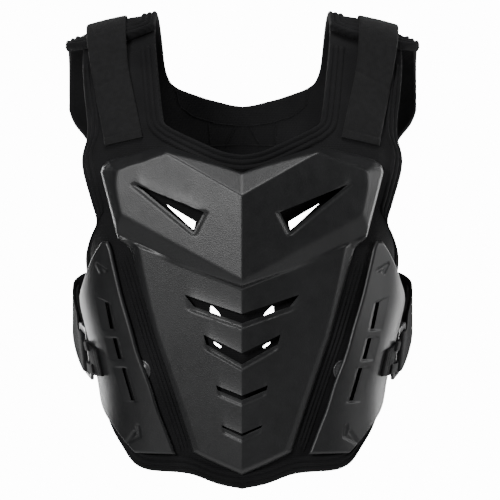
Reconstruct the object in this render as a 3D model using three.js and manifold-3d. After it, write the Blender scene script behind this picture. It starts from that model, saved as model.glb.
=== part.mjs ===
// A motorcycle chest protector: a padded vest with a faceted chest plate, two side shields,
// hook-and-loop shoulder straps and elastic side straps on rectangular buckle frames.
// Millimetres, +Z up, the front faces -Y. The origin lies midway between the undersides of the two
// shoulder pads, at the height where they bear on the wearer's shoulders.
import * as THREE from "three";
import { mergeVertices } from "three/addons/utils/BufferGeometryUtils.js";
import Module from "manifold-3d";

const wasm = await Module();
wasm.setup();

// Driving dimensions
const PAD = 8; // thickness of the foam pads
const PAD_EDGE = 4.5; // thickness left at a pad's rounded border
const RIB_PITCH = 6.2; // spacing of the embossed ribs along the borders
const RIB_HEIGHT = 2.2;
const WALL = 3.2; // moulded plate and shield wall
const WEB = 2.4; // webbing and elastic thickness
const SHOULDER_BAND = 43.5; // width of a shoulder strap
const SIDE_BAND = 44; // width of a side strap
const ARCH_RADIUS = 70; // outer face of the back pad where it bends over the shoulder
const ARCH_Y = 35;
const ARCH_Z = -40;
const ARCH_END = 133; // degrees of bend from the back to the front edge of the shoulder part
const TAB_RADIUS = 60.4; // outer face of the front tab where it tucks under the arch
const TAB_LEAN = 24.6; // degrees that the front tabs lean back from vertical
const TAB_DEPTH = 38; // how far behind the centre line of the chest the tabs lie under the arch
const SHOULDER_INNER = 98; // half width at which the shoulders start to slope down
const FRAME = { width: 38, height: 58, bar: 4.2, top: 6.5, thick: 3.6, corner: 4 };
const RIVET = { radius: 11, height: 4.2 };
const GAP = 0.35; // clearance between pieces that touch

const black = (name, color, roughness) =>
  new THREE.MeshStandardMaterial({ name, color, roughness, metalness: 0 });
const fabric = black("padded_fabric", 0x1a1a1c, 0.9);
const shell = black("moulded_shell", 0x202124, 0.45);
const webbing = black("webbing", 0x161617, 0.85);
const plastic = black("buckle_plastic", 0x0d0d0e, 0.3);

const rad = THREE.MathUtils.degToRad;
const clamp = THREE.MathUtils.clamp;
const lerp = THREE.MathUtils.lerp;
const ease = (t) => THREE.MathUtils.smoothstep(t, 0, 1);

// Smooth value of one column of a table, whose rows are sorted by the column named `by`
function column(table, by, at, name) {
  const last = table.length - 1;
  let i = 0;
  while (i < last - 1 && at > table[i + 1][by]) i += 1;
  const slope = (k) => {
    const a = table[Math.max(k - 1, 0)];
    const b = table[Math.min(k + 1, last)];
    return (b[name] - a[name]) / (b[by] - a[by]);
  };
  const h = table[i + 1][by] - table[i][by];
  const t = clamp((at - table[i][by]) / h, 0, 1);
  const s = 1 - t;
  return table[i][name] * (1 + 2 * t) * s * s + table[i + 1][name] * (3 - 2 * t) * t * t
    + slope(i) * h * t * s * s - slope(i + 1) * h * t * t * s;
}

// Front of the torso at each height: keel depth, straight half width, side radius, heading
const FRONT_SECTIONS = [
  { z: -495, y: -116, flat: 92, radius: 85, heading: 14 },
  { z: -400, y: -122, flat: 93, radius: 87, heading: 14 },
  { z: -315, y: -127, flat: 97, radius: 92, heading: 13.5 },
  { z: -230, y: -128, flat: 106, radius: 100, heading: 13 },
  { z: -175, y: -124.5, flat: 116, radius: 107, heading: 12 },
  { z: -150, y: -119, flat: 120, radius: 110, heading: 12 },
  { z: -120, y: -107.5, flat: 120, radius: 110, heading: 12 },
  { z: -90, y: -94, flat: 120, radius: 110, heading: 12 },
  { z: -50, y: -75.3, flat: 120, radius: 110, heading: 12 },
  { z: -14.85, y: -58.9, flat: 120, radius: 110, heading: 12 },
];

// Back of the torso at each height, in the same terms, its depth behind the origin
const BACK_SECTIONS = [
  { z: -475, y: 103, flat: 95, radius: 92, heading: 5 },
  { z: -350, y: 100, flat: 95, radius: 95, heading: 5 },
  { z: -250, y: 107, flat: 98, radius: 105, heading: 5 },
  { z: -160, y: 111, flat: 110, radius: 170, heading: 4 },
  { z: -100, y: 108, flat: 120, radius: 250, heading: 3 },
  { z: -40, y: 105, flat: 120, radius: 260, heading: 3 },
];

// Drop of the sloping shoulder at distance x from the middle
function shoulderDrop(x) {
  const out = Math.max(0, Math.abs(x) - SHOULDER_INNER);
  return 0.2 * out + 0.0014 * out * out;
}

// Horizontal section: a straight run at a heading, then an arc, by arc length u from the middle
function section(table, u, w) {
  const z = clamp(w, table[0].z, table[table.length - 1].z);
  const flat = column(table, "z", z, "flat");
  const radius = column(table, "z", z, "radius");
  const heading = rad(column(table, "z", z, "heading"));
  const straight = Math.min(u, flat);
  const turn = heading + Math.max(0, u - flat) / radius;
  return {
    x: straight * Math.cos(heading) + radius * (Math.sin(turn) - Math.sin(heading)),
    y: straight * Math.sin(heading) + radius * (Math.cos(heading) - Math.cos(turn)),
  };
}

// Outer face of the front pad: u runs round the body, w is height and then the way over the shoulder
function frontFace(u, w) {
  const { x, y } = section(FRONT_SECTIONS, u, w);
  const top = FRONT_SECTIONS[FRONT_SECTIONS.length - 1].z;
  const even = lerp(y, TAB_DEPTH, ease((w + 110) / 80));
  const drop = shoulderDrop(x) * ease((w + 130) / 110);
  if (w <= top) return new THREE.Vector3(x, column(FRONT_SECTIONS, "z", w, "y") + even, w - drop);
  const angle = rad(180 - TAB_LEAN) - (w - top) / TAB_RADIUS;
  return new THREE.Vector3(x, ARCH_Y + TAB_RADIUS * Math.cos(angle),
    ARCH_Z + TAB_RADIUS * Math.sin(angle) - drop);
}

// Outer face of the back pad, in the same terms, bending forward over the shoulder above ARCH_Z
function backFace(u, w) {
  const { x, y } = section(BACK_SECTIONS, u, w);
  const even = y * (1 - ease((w + 130) / 90));
  const drop = shoulderDrop(x) * ease((w + 110) / 90);
  if (w <= ARCH_Z) return new THREE.Vector3(x, column(BACK_SECTIONS, "z", w, "y") - even, w - drop);
  const angle = (w - ARCH_Z) / ARCH_RADIUS;
  return new THREE.Vector3(x, ARCH_Y + ARCH_RADIUS * Math.cos(angle),
    ARCH_Z + ARCH_RADIUS * Math.sin(angle) - drop);
}

// A point lifted off a face along its outward normal; side is 1 on the front and -1 on the back
function lifted(face, side, u, w, lift) {
  const step = 0.5;
  const across = face(u + step, w).sub(face(Math.max(u - step, 0), w));
  const along = face(u, w + step).sub(face(u, w - step));
  const normal = across.cross(along).multiplyScalar(side);
  if (u === 0) normal.x = 0;
  return face(u, w).addScaledVector(normal.normalize(), lift);
}

// Closed shell between two grids of points with the same rows and columns
function gridShell(outside, inside) {
  const rows = outside.length;
  const cols = outside[0].length;
  const position = [...outside.flat(), ...inside.flat()].flatMap((p) => p.toArray());
  const at = (layer, i, j) => layer * rows * cols + i * cols + j;
  const index = [];
  const quad = (a, b, c, d) => index.push(a, b, c, a, c, d);
  for (let i = 0; i < rows - 1; i += 1) {
    for (let j = 0; j < cols - 1; j += 1) {
      quad(at(0, i, j), at(0, i + 1, j), at(0, i + 1, j + 1), at(0, i, j + 1));
      quad(at(1, i, j), at(1, i, j + 1), at(1, i + 1, j + 1), at(1, i + 1, j));
    }
    quad(at(0, i, 0), at(1, i, 0), at(1, i + 1, 0), at(0, i + 1, 0));
    quad(at(0, i + 1, cols - 1), at(1, i + 1, cols - 1), at(1, i, cols - 1), at(0, i, cols - 1));
  }
  for (let j = 0; j < cols - 1; j += 1) {
    quad(at(0, 0, j + 1), at(1, 0, j + 1), at(1, 0, j), at(0, 0, j));
    quad(at(0, rows - 1, j), at(1, rows - 1, j), at(1, rows - 1, j + 1), at(0, rows - 1, j + 1));
  }
  return outward(position, index);
}

// Geometry from positions and triangles, its faces turned outwards
function outward(position, index) {
  let volume = 0;
  const corner = (k) => new THREE.Vector3().fromArray(position, 3 * k);
  for (let k = 0; k < index.length; k += 3) {
    volume += corner(index[k]).dot(corner(index[k + 1]).cross(corner(index[k + 2])));
  }
  if (volume < 0) index.reverse();
  const geometry = new THREE.BufferGeometry();
  geometry.setAttribute("position", new THREE.Float32BufferAttribute(position, 3));
  geometry.setIndex(index);
  return geometry;
}

function solidOf(geometry) {
  const bare = geometry.clone();
  bare.deleteAttribute("normal");
  bare.deleteAttribute("uv");
  const merged = mergeVertices(bare, 1e-4);
  return new wasm.Manifold(new wasm.Mesh({
    numProp: 3,
    vertProperties: new Float32Array(merged.attributes.position.array),
    triVerts: new Uint32Array(merged.index.array),
  }));
}

function geometryOf(solid) {
  const mesh = solid.getMesh();
  const geometry = new THREE.BufferGeometry();
  geometry.setAttribute("position", new THREE.BufferAttribute(new Float32Array(mesh.vertProperties), 3));
  geometry.setIndex(new THREE.BufferAttribute(new Uint32Array(mesh.triVerts), 1));
  return geometry;
}

function cut(geometry, cutters) {
  return geometryOf(cutters.reduce((solid, cutter) => solid.subtract(solidOf(cutter)), solidOf(geometry)));
}

// Prism along Y through a front-view outline of [x, z] points
function prismAlongY(outline, fromY, toY) {
  const shape = new THREE.Shape(outline.map(([x, z]) => new THREE.Vector2(x, z)));
  const prism = new THREE.ExtrudeGeometry(shape, { depth: toY - fromY, bevelEnabled: false });
  return prism.rotateX(Math.PI / 2).translate(0, toY, 0);
}

const mirroredOutline = (outline) => outline.map(([x, z]) => [-x, z]).reverse();

// The same geometry on the other side of the middle, faces still outwards
function mirrored(geometry) {
  const copy = geometry.index ? geometry.clone() : mergeVertices(geometry);
  copy.scale(-1, 1, 1);
  copy.setIndex(Array.from(copy.index.array).reverse());
  return copy;
}

// Rib relief at a distance from a border: the rounded edge, then three ribs
function ribRelief(distance) {
  const band = 3 * RIB_PITCH;
  if (distance >= band) return 0;
  if (distance < 0.1) return -1.2;
  return RIB_HEIGHT * Math.sin((Math.PI * distance) / RIB_PITCH) ** 2;
}

// Distances from a border at which a pad has grid lines: crests and valleys of the three ribs
const ribLines = [0, 0.5, 1, 1.5, 2, 2.5, 3].map((k) => k * RIB_PITCH);

// Pad between its neck border and its outer border. Each row of the table is a spoke from the one
// to the other, and the other half of the pad repeats the spokes mirrored.
function pad(face, side, spokes, count, middle, ribsEnd) {
  const last = spokes[spokes.length - 1].v;
  const outside = [];
  const inside = [];
  for (let k = -count; k <= count; k += 1) {
    const v = (Math.abs(k) / count) * last;
    const [u0, w0, u1, w1] = ["inU", "inW", "outU", "outW"].map((name) => column(spokes, "v", v, name));
    const length = Math.hypot(u1 - u0, w1 - w0);
    const bow = (spokes[spokes.length - 1].bow ?? 0) * ease((v - last + 4) / 4);
    const band = Math.min(1, (0.42 * length) / (3 * RIB_PITCH));
    const stops = ribLines.map((d) => (d * band) / length);
    for (let m = 1; m < middle; m += 1) stops.push(lerp(stops[6], 1 - stops[6], m / middle));
    stops.push(...ribLines.map((d) => 1 - (d * band) / length).reverse());
    const fade = 1 - ease((Math.max(w0, w1) - ribsEnd) / 12);
    const row = stops.map((t, j) => {
      const u = lerp(u0, u1, t);
      const w = lerp(w0, w1, t) + bow * 4 * t * (1 - t);
      const edge = Math.min(j, stops.length - 1 - j) < ribLines.length
        ? ribRelief(ribLines[Math.min(j, stops.length - 1 - j)]) : 0;
      const border = j === 0 || j === stops.length - 1 || Math.abs(k) === count;
      const outer = lifted(face, side, u, w, border ? -1.2 : edge * fade);
      const inner = lifted(face, side, u, w, border ? -1.2 - PAD_EDGE : -PAD);
      if (k < 0) [outer, inner].forEach((p) => { p.x = -p.x; });
      return [outer, inner];
    });
    outside.push(row.map((pair) => pair[0]));
    inside.push(row.map((pair) => pair[1]));
  }
  return gridShell(outside, inside);
}

// Vent holes in front view, one side: outlines of [x, z] points
const FRONT_PAD_VENTS = [
  [[84, -189], [44, -208], [49, -222], [58, -218]],
  [[21, -297], [38, -294], [36, -306], [22, -311]],
  [[20, -337], [31, -334], [29, -344], [21, -348]],
];
const BACK_PAD_VENTS = [
  [[96, -176], [44, -196], [46, -232], [62, -228]],
  [[15, -296], [50, -292], [48, -318], [16, -326]],
  [[13, -338], [42, -334], [40, -356], [14, -364]],
];
const ventCutters = (outlines, fromY, toY) => outlines.flatMap((outline) =>
  [outline, mirroredOutline(outline)].map((points) => prismAlongY(points, fromY, toY)));

// Front pad, half: the V neckline and the inner border of the tab, against the outer border
// from the bottom point round the waist and armhole to the outer border of the tab
const FRONT_SPOKES = [
  { v: 0, inU: 0, inW: -138, outU: 0, outW: -492.5 },
  { v: 2, inU: 12, inW: -136.4, outU: 58, outW: -478 },
  { v: 4, inU: 22, inW: -133.8, outU: 113, outW: -473 },
  { v: 6, inU: 32, inW: -129.8, outU: 140, outW: -453 },
  { v: 8, inU: 42, inW: -125.2, outU: 172, outW: -414 },
  { v: 11, inU: 56, inW: -118.6, outU: 192, outW: -325 },
  { v: 12, inU: 61, inW: -116.4, outU: 204, outW: -288 },
  { v: 13, inU: 66, inW: -114, outU: 203, outW: -255 },
  { v: 14, inU: 70, inW: -111.8, outU: 186, outW: -232 },
  { v: 15, inU: 75, inW: -109.5, outU: 169, outW: -212 },
  { v: 16, inU: 79, inW: -107, outU: 174, outW: -190 },
  { v: 18, inU: 86, inW: -101.5, outU: 187, outW: -145 },
  { v: 20, inU: 89, inW: -90, outU: 180, outW: -112 },
  { v: 23, inU: 94, inW: -50, outU: 187, outW: -50 },
  { v: 25, inU: 98, inW: -15, outU: 193, outW: -2 },
  { v: 27, inU: 101, inW: 25, outU: 193, outW: 33 },
];
function frontPad() {
  const plain = pad(frontFace, 1, FRONT_SPOKES, 27, 4, -12);
  return cut(plain, ventCutters(FRONT_PAD_VENTS, -150, -60));
}

// Back pad, half: the round neckline and the inner border of the shoulder part, against the outer
// border from the bottom round the wing and armhole to the shoulder's front edge
const ARCH_LENGTH = rad(ARCH_END) * ARCH_RADIUS;
const BACK_SPOKES = [
  { v: 0, inU: 0, inW: -72, outU: 0, outW: -468 },
  { v: 2, inU: 14, inW: -70, outU: 60, outW: -466 },
  { v: 4, inU: 28, inW: -66.5, outU: 108, outW: -461 },
  { v: 6, inU: 42, inW: -63, outU: 140, outW: -446 },
  { v: 8, inU: 54, inW: -59, outU: 165, outW: -412 },
  { v: 10, inU: 64, inW: -55.5, outU: 180, outW: -365 },
  { v: 12, inU: 72, inW: -52.5, outU: 182, outW: -310 },
  { v: 14, inU: 79, inW: -48.5, outU: 168, outW: -258 },
  { v: 16, inU: 84, inW: -44, outU: 152, outW: -210 },
  { v: 18, inU: 88, inW: -36, outU: 158, outW: -160 },
  { v: 20, inU: 91, inW: -24, outU: 182, outW: -116 },
  { v: 22, inU: 93, inW: -2, outU: 198, outW: -86 },
  { v: 24, inU: 95, inW: 32, outU: 201, outW: -36 },
  { v: 27, inU: 97, inW: 84, outU: 201, outW: 42 },
  { v: 30, inU: 98, inW: ARCH_Z + ARCH_LENGTH, outU: 201, outW: ARCH_Z + ARCH_LENGTH - 22, bow: 18 },
];
function backPad() {
  const plain = pad(backFace, -1, BACK_SPOKES, 23, 4, ARCH_LENGTH);
  return cut(plain, ventCutters(BACK_PAD_VENTS, 60, 130));
}

// Chest plate, half: corners of the rim, of the raised upper facet and of the lower facet.
// A rim corner has no depth of its own: it lies on the pad.
const RIM_LIFT = 3; // clearance of the plate's rim over the pad
const PLATE_POINTS = {
  rimTop: [0, -158],
  rimNeck: [40, -142.5],
  rimPeak: [80, -128],
  rimShoulder: [116, -135.5],
  rimCorner: [150, -145],
  rimCornerLow: [153, -156],
  rimSide: [134, -227],
  rimJoint: [121, -237],
  rimMiddle: [93.6, -334],
  rimLow: [52.4, -456],
  rimFoot: [26, -468.5],
  rimTip: [0, -479],
  topNotch: [0, -183, -150],
  topPeak: [79, -138, -128],
  topCorner: [131, -160, -114],
  topCornerLow: [134.5, -166, -113],
  topSide: [126.5, -204, -114.5],
  topFoot: [0, -272, -150],
  lowNotch: [0, -276, -139],
  lowJoint: [113, -239, -108],
  lowMiddle: [84, -342, -114],
  lowCorner: [49.4, -441, -118],
  lowTip: [0, -473, -127],
};
const PLATE_FACES = [
  ["topNotch", "topPeak", "topCorner", "topCornerLow", "topSide", "topFoot"],
  ["topNotch", "rimTop", "rimNeck", "rimPeak", "topPeak"],
  ["topPeak", "rimPeak", "rimShoulder", "rimCorner", "topCorner"],
  ["rimCorner", "rimCornerLow", "topCornerLow", "topCorner"],
  ["rimCornerLow", "rimSide", "topSide", "topCornerLow"],
  ["rimSide", "rimJoint", "lowJoint", "topSide"],
  ["topFoot", "topSide", "lowJoint", "lowNotch"],
  ["lowNotch", "lowJoint", "lowMiddle", "lowCorner", "lowTip"],
  ["rimJoint", "rimMiddle", "lowMiddle", "lowJoint"],
  ["rimMiddle", "rimLow", "lowCorner", "lowMiddle"],
  ["lowCorner", "rimLow", "rimFoot", "rimTip", "lowTip"],
];
const PLATE_VENTS = [
  [[113, -170], [40, -200], [51, -221]],
];
// Chevron slots across the lower facet: half width and height of each end and of the middle
const CHEVRONS = [
  { wide: 61, end: -287.4, middle: -307.4, lowWide: 51, lowEnd: -300, lowMiddle: -317.4 },
  { wide: 41, end: -329.5, middle: -349, lowWide: 37.9, lowEnd: -340, lowMiddle: -361 },
  { wide: 27.4, end: -383.4, middle: -394, lowWide: 26, lowEnd: -388.6, lowMiddle: -399 },
  { wide: 22, end: -425.4, middle: -434.3, lowWide: 20.5, lowEnd: -428.4, lowMiddle: -437.3 },
];

// Depth of the front pad's outer face at a front-view place
function frontDepth(x, z) {
  let u = Math.abs(x);
  for (let k = 0; k < 30; k += 1) u += Math.abs(x) - frontFace(u, z).x;
  return frontFace(u, z).y;
}

function chestPlate() {
  const position = [];
  const names = {};
  const add = (name, x, z, y) => {
    names[name] = position.length / 3;
    position.push(x, y ?? frontDepth(x, z) - RIM_LIFT - WALL, z);
  };
  Object.entries(PLATE_POINTS).forEach(([name, [x, z, y]]) => {
    add(name, x, z, y);
    if (x > 0) add(`${name}Left`, -x, z, y);
  });
  const half = position.length / 3;
  for (let k = 0; k < half; k += 1) {
    position.push(position[3 * k], position[3 * k + 1] + WALL, position[3 * k + 2]);
  }
  const index = [];
  const edges = new Map();
  const face = (ring) => {
    for (let k = 1; k < ring.length - 1; k += 1) {
      index.push(ring[0], ring[k], ring[k + 1]);
      index.push(ring[0] + half, ring[k + 1] + half, ring[k] + half);
    }
    ring.forEach((a, k) => {
      const b = ring[(k + 1) % ring.length];
      if (edges.has(`${b} ${a}`)) edges.delete(`${b} ${a}`);
      else edges.set(`${a} ${b}`, [a, b]);
    });
  };
  PLATE_FACES.forEach((ring) => {
    face(ring.map((name) => names[name]));
    face(ring.map((name) => names[`${name}Left`] ?? names[name]).reverse());
  });
  edges.forEach(([a, b]) => index.push(b, a, a + half, b, a + half, b + half));
  const cutters = ventCutters(PLATE_VENTS, -170, -60);
  CHEVRONS.forEach((row) => cutters.push(prismAlongY([
    [-row.wide, row.end], [0, row.middle], [row.wide, row.end],
    [row.lowWide, row.lowEnd], [0, row.lowMiddle], [-row.lowWide, row.lowEnd],
  ].reverse(), -170, -60)));
  return cut(outward(position, index), cutters);
}

// Side shield: inner and outer border and stand-off from the pad, by height
const SHIELD_ROWS = [
  { z: -458, inU: 72, outU: 117, inLift: 8.3, outLift: 8 },
  { z: -435, inU: 81, outU: 142, inLift: 8.3, outLift: 7.8 },
  { z: -410, inU: 91, outU: 171, inLift: 8.3, outLift: 7.2 },
  { z: -384, inU: 99, outU: 180, inLift: 8.3, outLift: 7.8 },
  { z: -350, inU: 112, outU: 186, inLift: 8.3, outLift: 11 },
  { z: -323, inU: 120, outU: 192, inLift: 8.3, outLift: 14 },
  { z: -292, inU: 130, outU: 197, inLift: 8.3, outLift: 16 },
  { z: -270, inU: 136, outU: 184, inLift: 8.3, outLift: 13.5 },
  { z: -250, inU: 141, outU: 171, inLift: 8.3, outLift: 11.5 },
  { z: -238, inU: 144, outU: 162, inLift: 8.3, outLift: 10 },
  { z: -230, inU: 148, outU: 155, inLift: 8.3, outLift: 9 },
];
// Slots along the shield's inner border: the two ends in front view and the width
const SHIELD_SLOTS = [
  { topX: 146, topZ: -298, lowX: 140.5, lowZ: -324, wide: 4 },
  { topX: 137.5, topZ: -335, lowX: 131.5, lowZ: -357, wide: 4 },
  { topX: 127.5, topZ: -367, lowX: 117, lowZ: -402, wide: 4 },
];
// A place on the shield: t runs from the inner border to the outer one, drop goes into the wall
function shieldFace(t, z, drop) {
  const [inU, outU, inLift, outLift] = ["inU", "outU", "inLift", "outLift"]
    .map((name) => column(SHIELD_ROWS, "z", z, name));
  return lifted(frontFace, 1, lerp(inU, outU, t), z, lerp(inLift, outLift, ease(t)) - drop);
}
function shield() {
  const rows = 16;
  const cols = 9;
  const low = SHIELD_ROWS[0].z;
  const high = SHIELD_ROWS[SHIELD_ROWS.length - 1].z;
  const grid = (drop) => Array.from({ length: rows + 1 }, (_, i) =>
    Array.from({ length: cols + 1 }, (__, j) => shieldFace(j / cols, lerp(low, high, i / rows), drop)));
  const slots = SHIELD_SLOTS.map((slot) => prismAlongY([
    [slot.topX - slot.wide / 2, slot.topZ], [slot.lowX - slot.wide / 2, slot.lowZ],
    [slot.lowX + slot.wide / 2, slot.lowZ], [slot.topX + slot.wide / 2, slot.topZ],
  ], -140, -40));
  return cut(gridShell(grid(0), grid(WALL)), slots);
}

// Ribbon of webbing through stations, each a centre line of points across the band
function ribbon(stations) {
  return gridShell(stations.map((s) => s.map((p) => p[0])), stations.map((s) => s.map((p) => p[1])));
}

// Shoulder strap: stations from behind the shoulder, over the arch and down the front tab.
// skew is how far the band's cross line turns down at its outer border, rise how far that border lifts.
const SHOULDER_STATIONS = [
  { on: "back", u: 152, w: -62, skew: 0, lift: 1.6, rise: 0 },
  { on: "back", u: 152, w: -30, skew: 0, lift: 1.8, rise: 0.5 },
  { on: "back", u: 152, w: 0, skew: 0, lift: 2.2, rise: 1.5 },
  { on: "back", u: 152, w: 24, skew: 0, lift: 2.6, rise: 2.8 },
  { on: "back", u: 152, w: 48, skew: 0, lift: 2.8, rise: 4 },
  { on: "back", u: 152, w: 72, skew: 0, lift: 2.8, rise: 4.5 },
  { on: "back", u: 152, w: 96, skew: 0.03, lift: 3, rise: 3.5 },
  { on: "back", u: 151, w: 120, skew: 0.06, lift: 3.4, rise: 1.5 },
  { on: "front", u: 149, w: -42, skew: 0.14, lift: 3.2, rise: 0 },
  { on: "front", u: 144, w: -66, skew: 0.2, lift: 1.8, rise: 0 },
  { on: "front", u: 138, w: -92, skew: 0.2, lift: 1.3, rise: 0 },
  { on: "front", u: 131, w: -121, skew: 0.2, lift: 1.2, rise: 0 },
];
function shoulderStrap() {
  const across = 6;
  return ribbon(SHOULDER_STATIONS.map(({ on, u, w, skew, lift, rise }) => {
    const [face, side] = on === "back" ? [backFace, -1] : [frontFace, 1];
    return Array.from({ length: across + 1 }, (_, j) => {
      const off = (j / across - 0.5) * SHOULDER_BAND;
      const [du, dw] = [off * Math.cos(skew), -off * Math.sin(skew)];
      const under = lift + (rise * j) / across;
      return [WEB, 0].map((above) => lifted(face, side, u + du, w + dw, under + above));
    });
  }));
}

// Buckle frame: a moulded rectangle on its side, between its front and its rear bar
const FRAME_FRONT = new THREE.Vector3(170, -24, -356);
const FRAME_REAR = new THREE.Vector3(178.5, 10, -349);
function frameAxes() {
  const back = FRAME_REAR.clone().sub(FRAME_FRONT).normalize();
  const out = back.clone().cross(new THREE.Vector3(0, 0, 1)).normalize();
  const up = out.clone().cross(back).normalize();
  return { back, out, up };
}
function roundedRectangle(path, x0, y0, x1, y1, r) {
  path.moveTo(x0 + r, y0).lineTo(x1 - r, y0).quadraticCurveTo(x1, y0, x1, y0 + r);
  path.lineTo(x1, y1 - r).quadraticCurveTo(x1, y1, x1 - r, y1);
  path.lineTo(x0 + r, y1).quadraticCurveTo(x0, y1, x0, y1 - r);
  path.lineTo(x0, y0 + r).quadraticCurveTo(x0, y0, x0 + r, y0);
  return path;
}
function buckleFrame() {
  const { width, height, bar, top, thick, corner } = FRAME;
  const [w, h] = [width / 2, height / 2];
  const outline = roundedRectangle(new THREE.Shape(), -w, -h, w, h, corner);
  outline.holes.push(roundedRectangle(new THREE.Path(), -w + bar, -h + bar, w - bar, h - top, 1.5));
  const bevel = 0.9;
  const plate = new THREE.ExtrudeGeometry(outline, {
    depth: thick - 2 * bevel, bevelEnabled: true, bevelThickness: bevel, bevelSize: bevel,
    bevelOffset: -bevel, bevelSegments: 1, curveSegments: 3,
  });
  plate.translate(0, 0, bevel - thick / 2);
  const { back, out, up } = frameAxes();
  const centre = FRAME_FRONT.clone().lerp(FRAME_REAR, 0.5);
  plate.applyMatrix4(new THREE.Matrix4().makeBasis(back, up, out).setPosition(centre));
  return plate;
}

// Band bent round an upright bar: a plan path [back, out] of the band's middle, carried up the bar
function loopStations(path, origin, axes, halfHeight) {
  const points = path.map(([b, o]) => new THREE.Vector2(b, o));
  return points.map((p, k) => {
    const before = points[Math.max(k - 1, 0)];
    const after = points[Math.min(k + 1, points.length - 1)];
    const way = after.clone().sub(before).normalize();
    const normal = new THREE.Vector2(way.y, -way.x);
    return [-halfHeight, 0, halfHeight].map((height) => [0.5, -0.5].map((f) => {
      const q = p.clone().addScaledVector(normal, f * WEB);
      return origin.clone().addScaledVector(axes.back, q.x).addScaledVector(axes.out, q.y)
        .addScaledVector(axes.up, height);
    }));
  });
}

// Webbing tab: laid on the shield's outside near its rear border and turned round the front bar
const TAB_HEIGHT = 38;
function shieldTab() {
  const axes = frameAxes();
  const turn = FRAME.bar / 2 + GAP + WEB / 2;
  const laid = [0.72, 0.82, 0.92, 1].map((t) => [-1, 0, 1].map((k) => [WEB, 0].map((inward) =>
    shieldFace(t, FRAME_FRONT.z + (k * TAB_HEIGHT) / 2, -GAP - WEB - 0.3 + inward))));
  const path = [];
  for (let a = 90; a >= -90; a -= 30) {
    path.push([turn * Math.cos(rad(a)), turn * Math.sin(rad(a)) * 0.95]);
  }
  path.push([-8, -turn * 0.8]);
  const bar = FRAME_FRONT.clone().addScaledVector(axes.back, FRAME.bar / 2);
  return ribbon([...laid, ...loopStations(path, bar, axes, TAB_HEIGHT / 2)]);
}

// Side strap: a short return inside, the turn round the rear bar, then the way up and back round
// the body's side to the back pad
const SIDE_STATIONS = [
  { u: 178, w: -286, lift: 22 },
  { u: 166, w: -284, lift: 8.5 },
  { u: 152, w: -283, lift: 1.6 },
  { u: 132, w: -282, lift: 1.3 },
  { u: 112, w: -281, lift: 1.3 },
];
function sideStrap() {
  const axes = frameAxes();
  const turn = FRAME.bar / 2 + GAP + WEB / 2;
  const half = SIDE_BAND / 2;
  const path = [[22, -2.9], [10, -2.7]];
  for (let a = 270; a >= 90; a -= 30) {
    path.push([turn * Math.cos(rad(a)), turn * Math.sin(rad(a)) * 0.95]);
  }
  const bar = FRAME_REAR.clone().addScaledVector(axes.back, -FRAME.bar / 2);
  const stations = loopStations(path, bar, axes, half);
  const free = [
    { x: 185.5, y: 27, z: -336, tilt: -10 },
    { x: 189.5, y: 48, z: -313, tilt: 6 },
    { x: 186, y: 70, z: -297, tilt: 32 },
  ];
  free.forEach(({ x, y, z, tilt }) => {
    const normal = new THREE.Vector3(Math.cos(rad(tilt)), Math.sin(rad(tilt)), 0);
    stations.push([-half, 0, half].map((height) => [-0.5, 0.5].map((f) =>
      new THREE.Vector3(x, y, z + height).addScaledVector(normal, f * WEB))));
  });
  SIDE_STATIONS.forEach(({ u, w, lift }) => {
    stations.push([-half, 0, half].map((height) => [0, WEB].map((above) =>
      lifted(backFace, -1, u, w + height, lift + above))));
  });
  return ribbon(stations);
}

// Rivet: a domed head on the pad, under the shield's inner border
function shieldRivet() {
  const { radius, height } = RIVET;
  const profile = [[0, 0], [radius, 0], [radius, 1.4], [radius - 0.9, 2.5], [radius * 0.62, height - 0.5],
    [radius * 0.3, height], [0, height]].map(([r, h]) => new THREE.Vector2(r, h));
  const head = new THREE.LatheGeometry(profile, 12);
  const [u, w] = [111, -369];
  const seat = lifted(frontFace, 1, u, w, GAP);
  const normal = lifted(frontFace, 1, u, w, GAP + 1).sub(seat);
  const turn = new THREE.Quaternion().setFromUnitVectors(new THREE.Vector3(0, 1, 0), normal);
  return mergeVertices(head.applyQuaternion(turn).translate(seat.x, seat.y, seat.z));
}

const group = new THREE.Group();
function place(name, geometry, material) {
  const mesh = new THREE.Mesh(geometry, material);
  mesh.name = name;
  group.add(mesh);
}
function placePair(name, geometry, material) {
  place(`${name}_right`, geometry, material);
  place(`${name}_left`, mirrored(geometry), material);
}

place("front_pad", frontPad(), fabric);
place("back_pad", backPad(), fabric);
place("chest_plate", chestPlate(), shell);
placePair("side_shield", shield(), shell);
placePair("shoulder_strap", shoulderStrap(), webbing);
placePair("side_strap", sideStrap(), webbing);
placePair("buckle_frame", buckleFrame(), plastic);
placePair("shield_tab", shieldTab(), webbing);
placePair("shield_rivet", shieldRivet(), plastic);

export default group;
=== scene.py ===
"""Motorcycle chest protector: padded vest, faceted chest plate, side shields, straps and buckle frames."""

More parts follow.
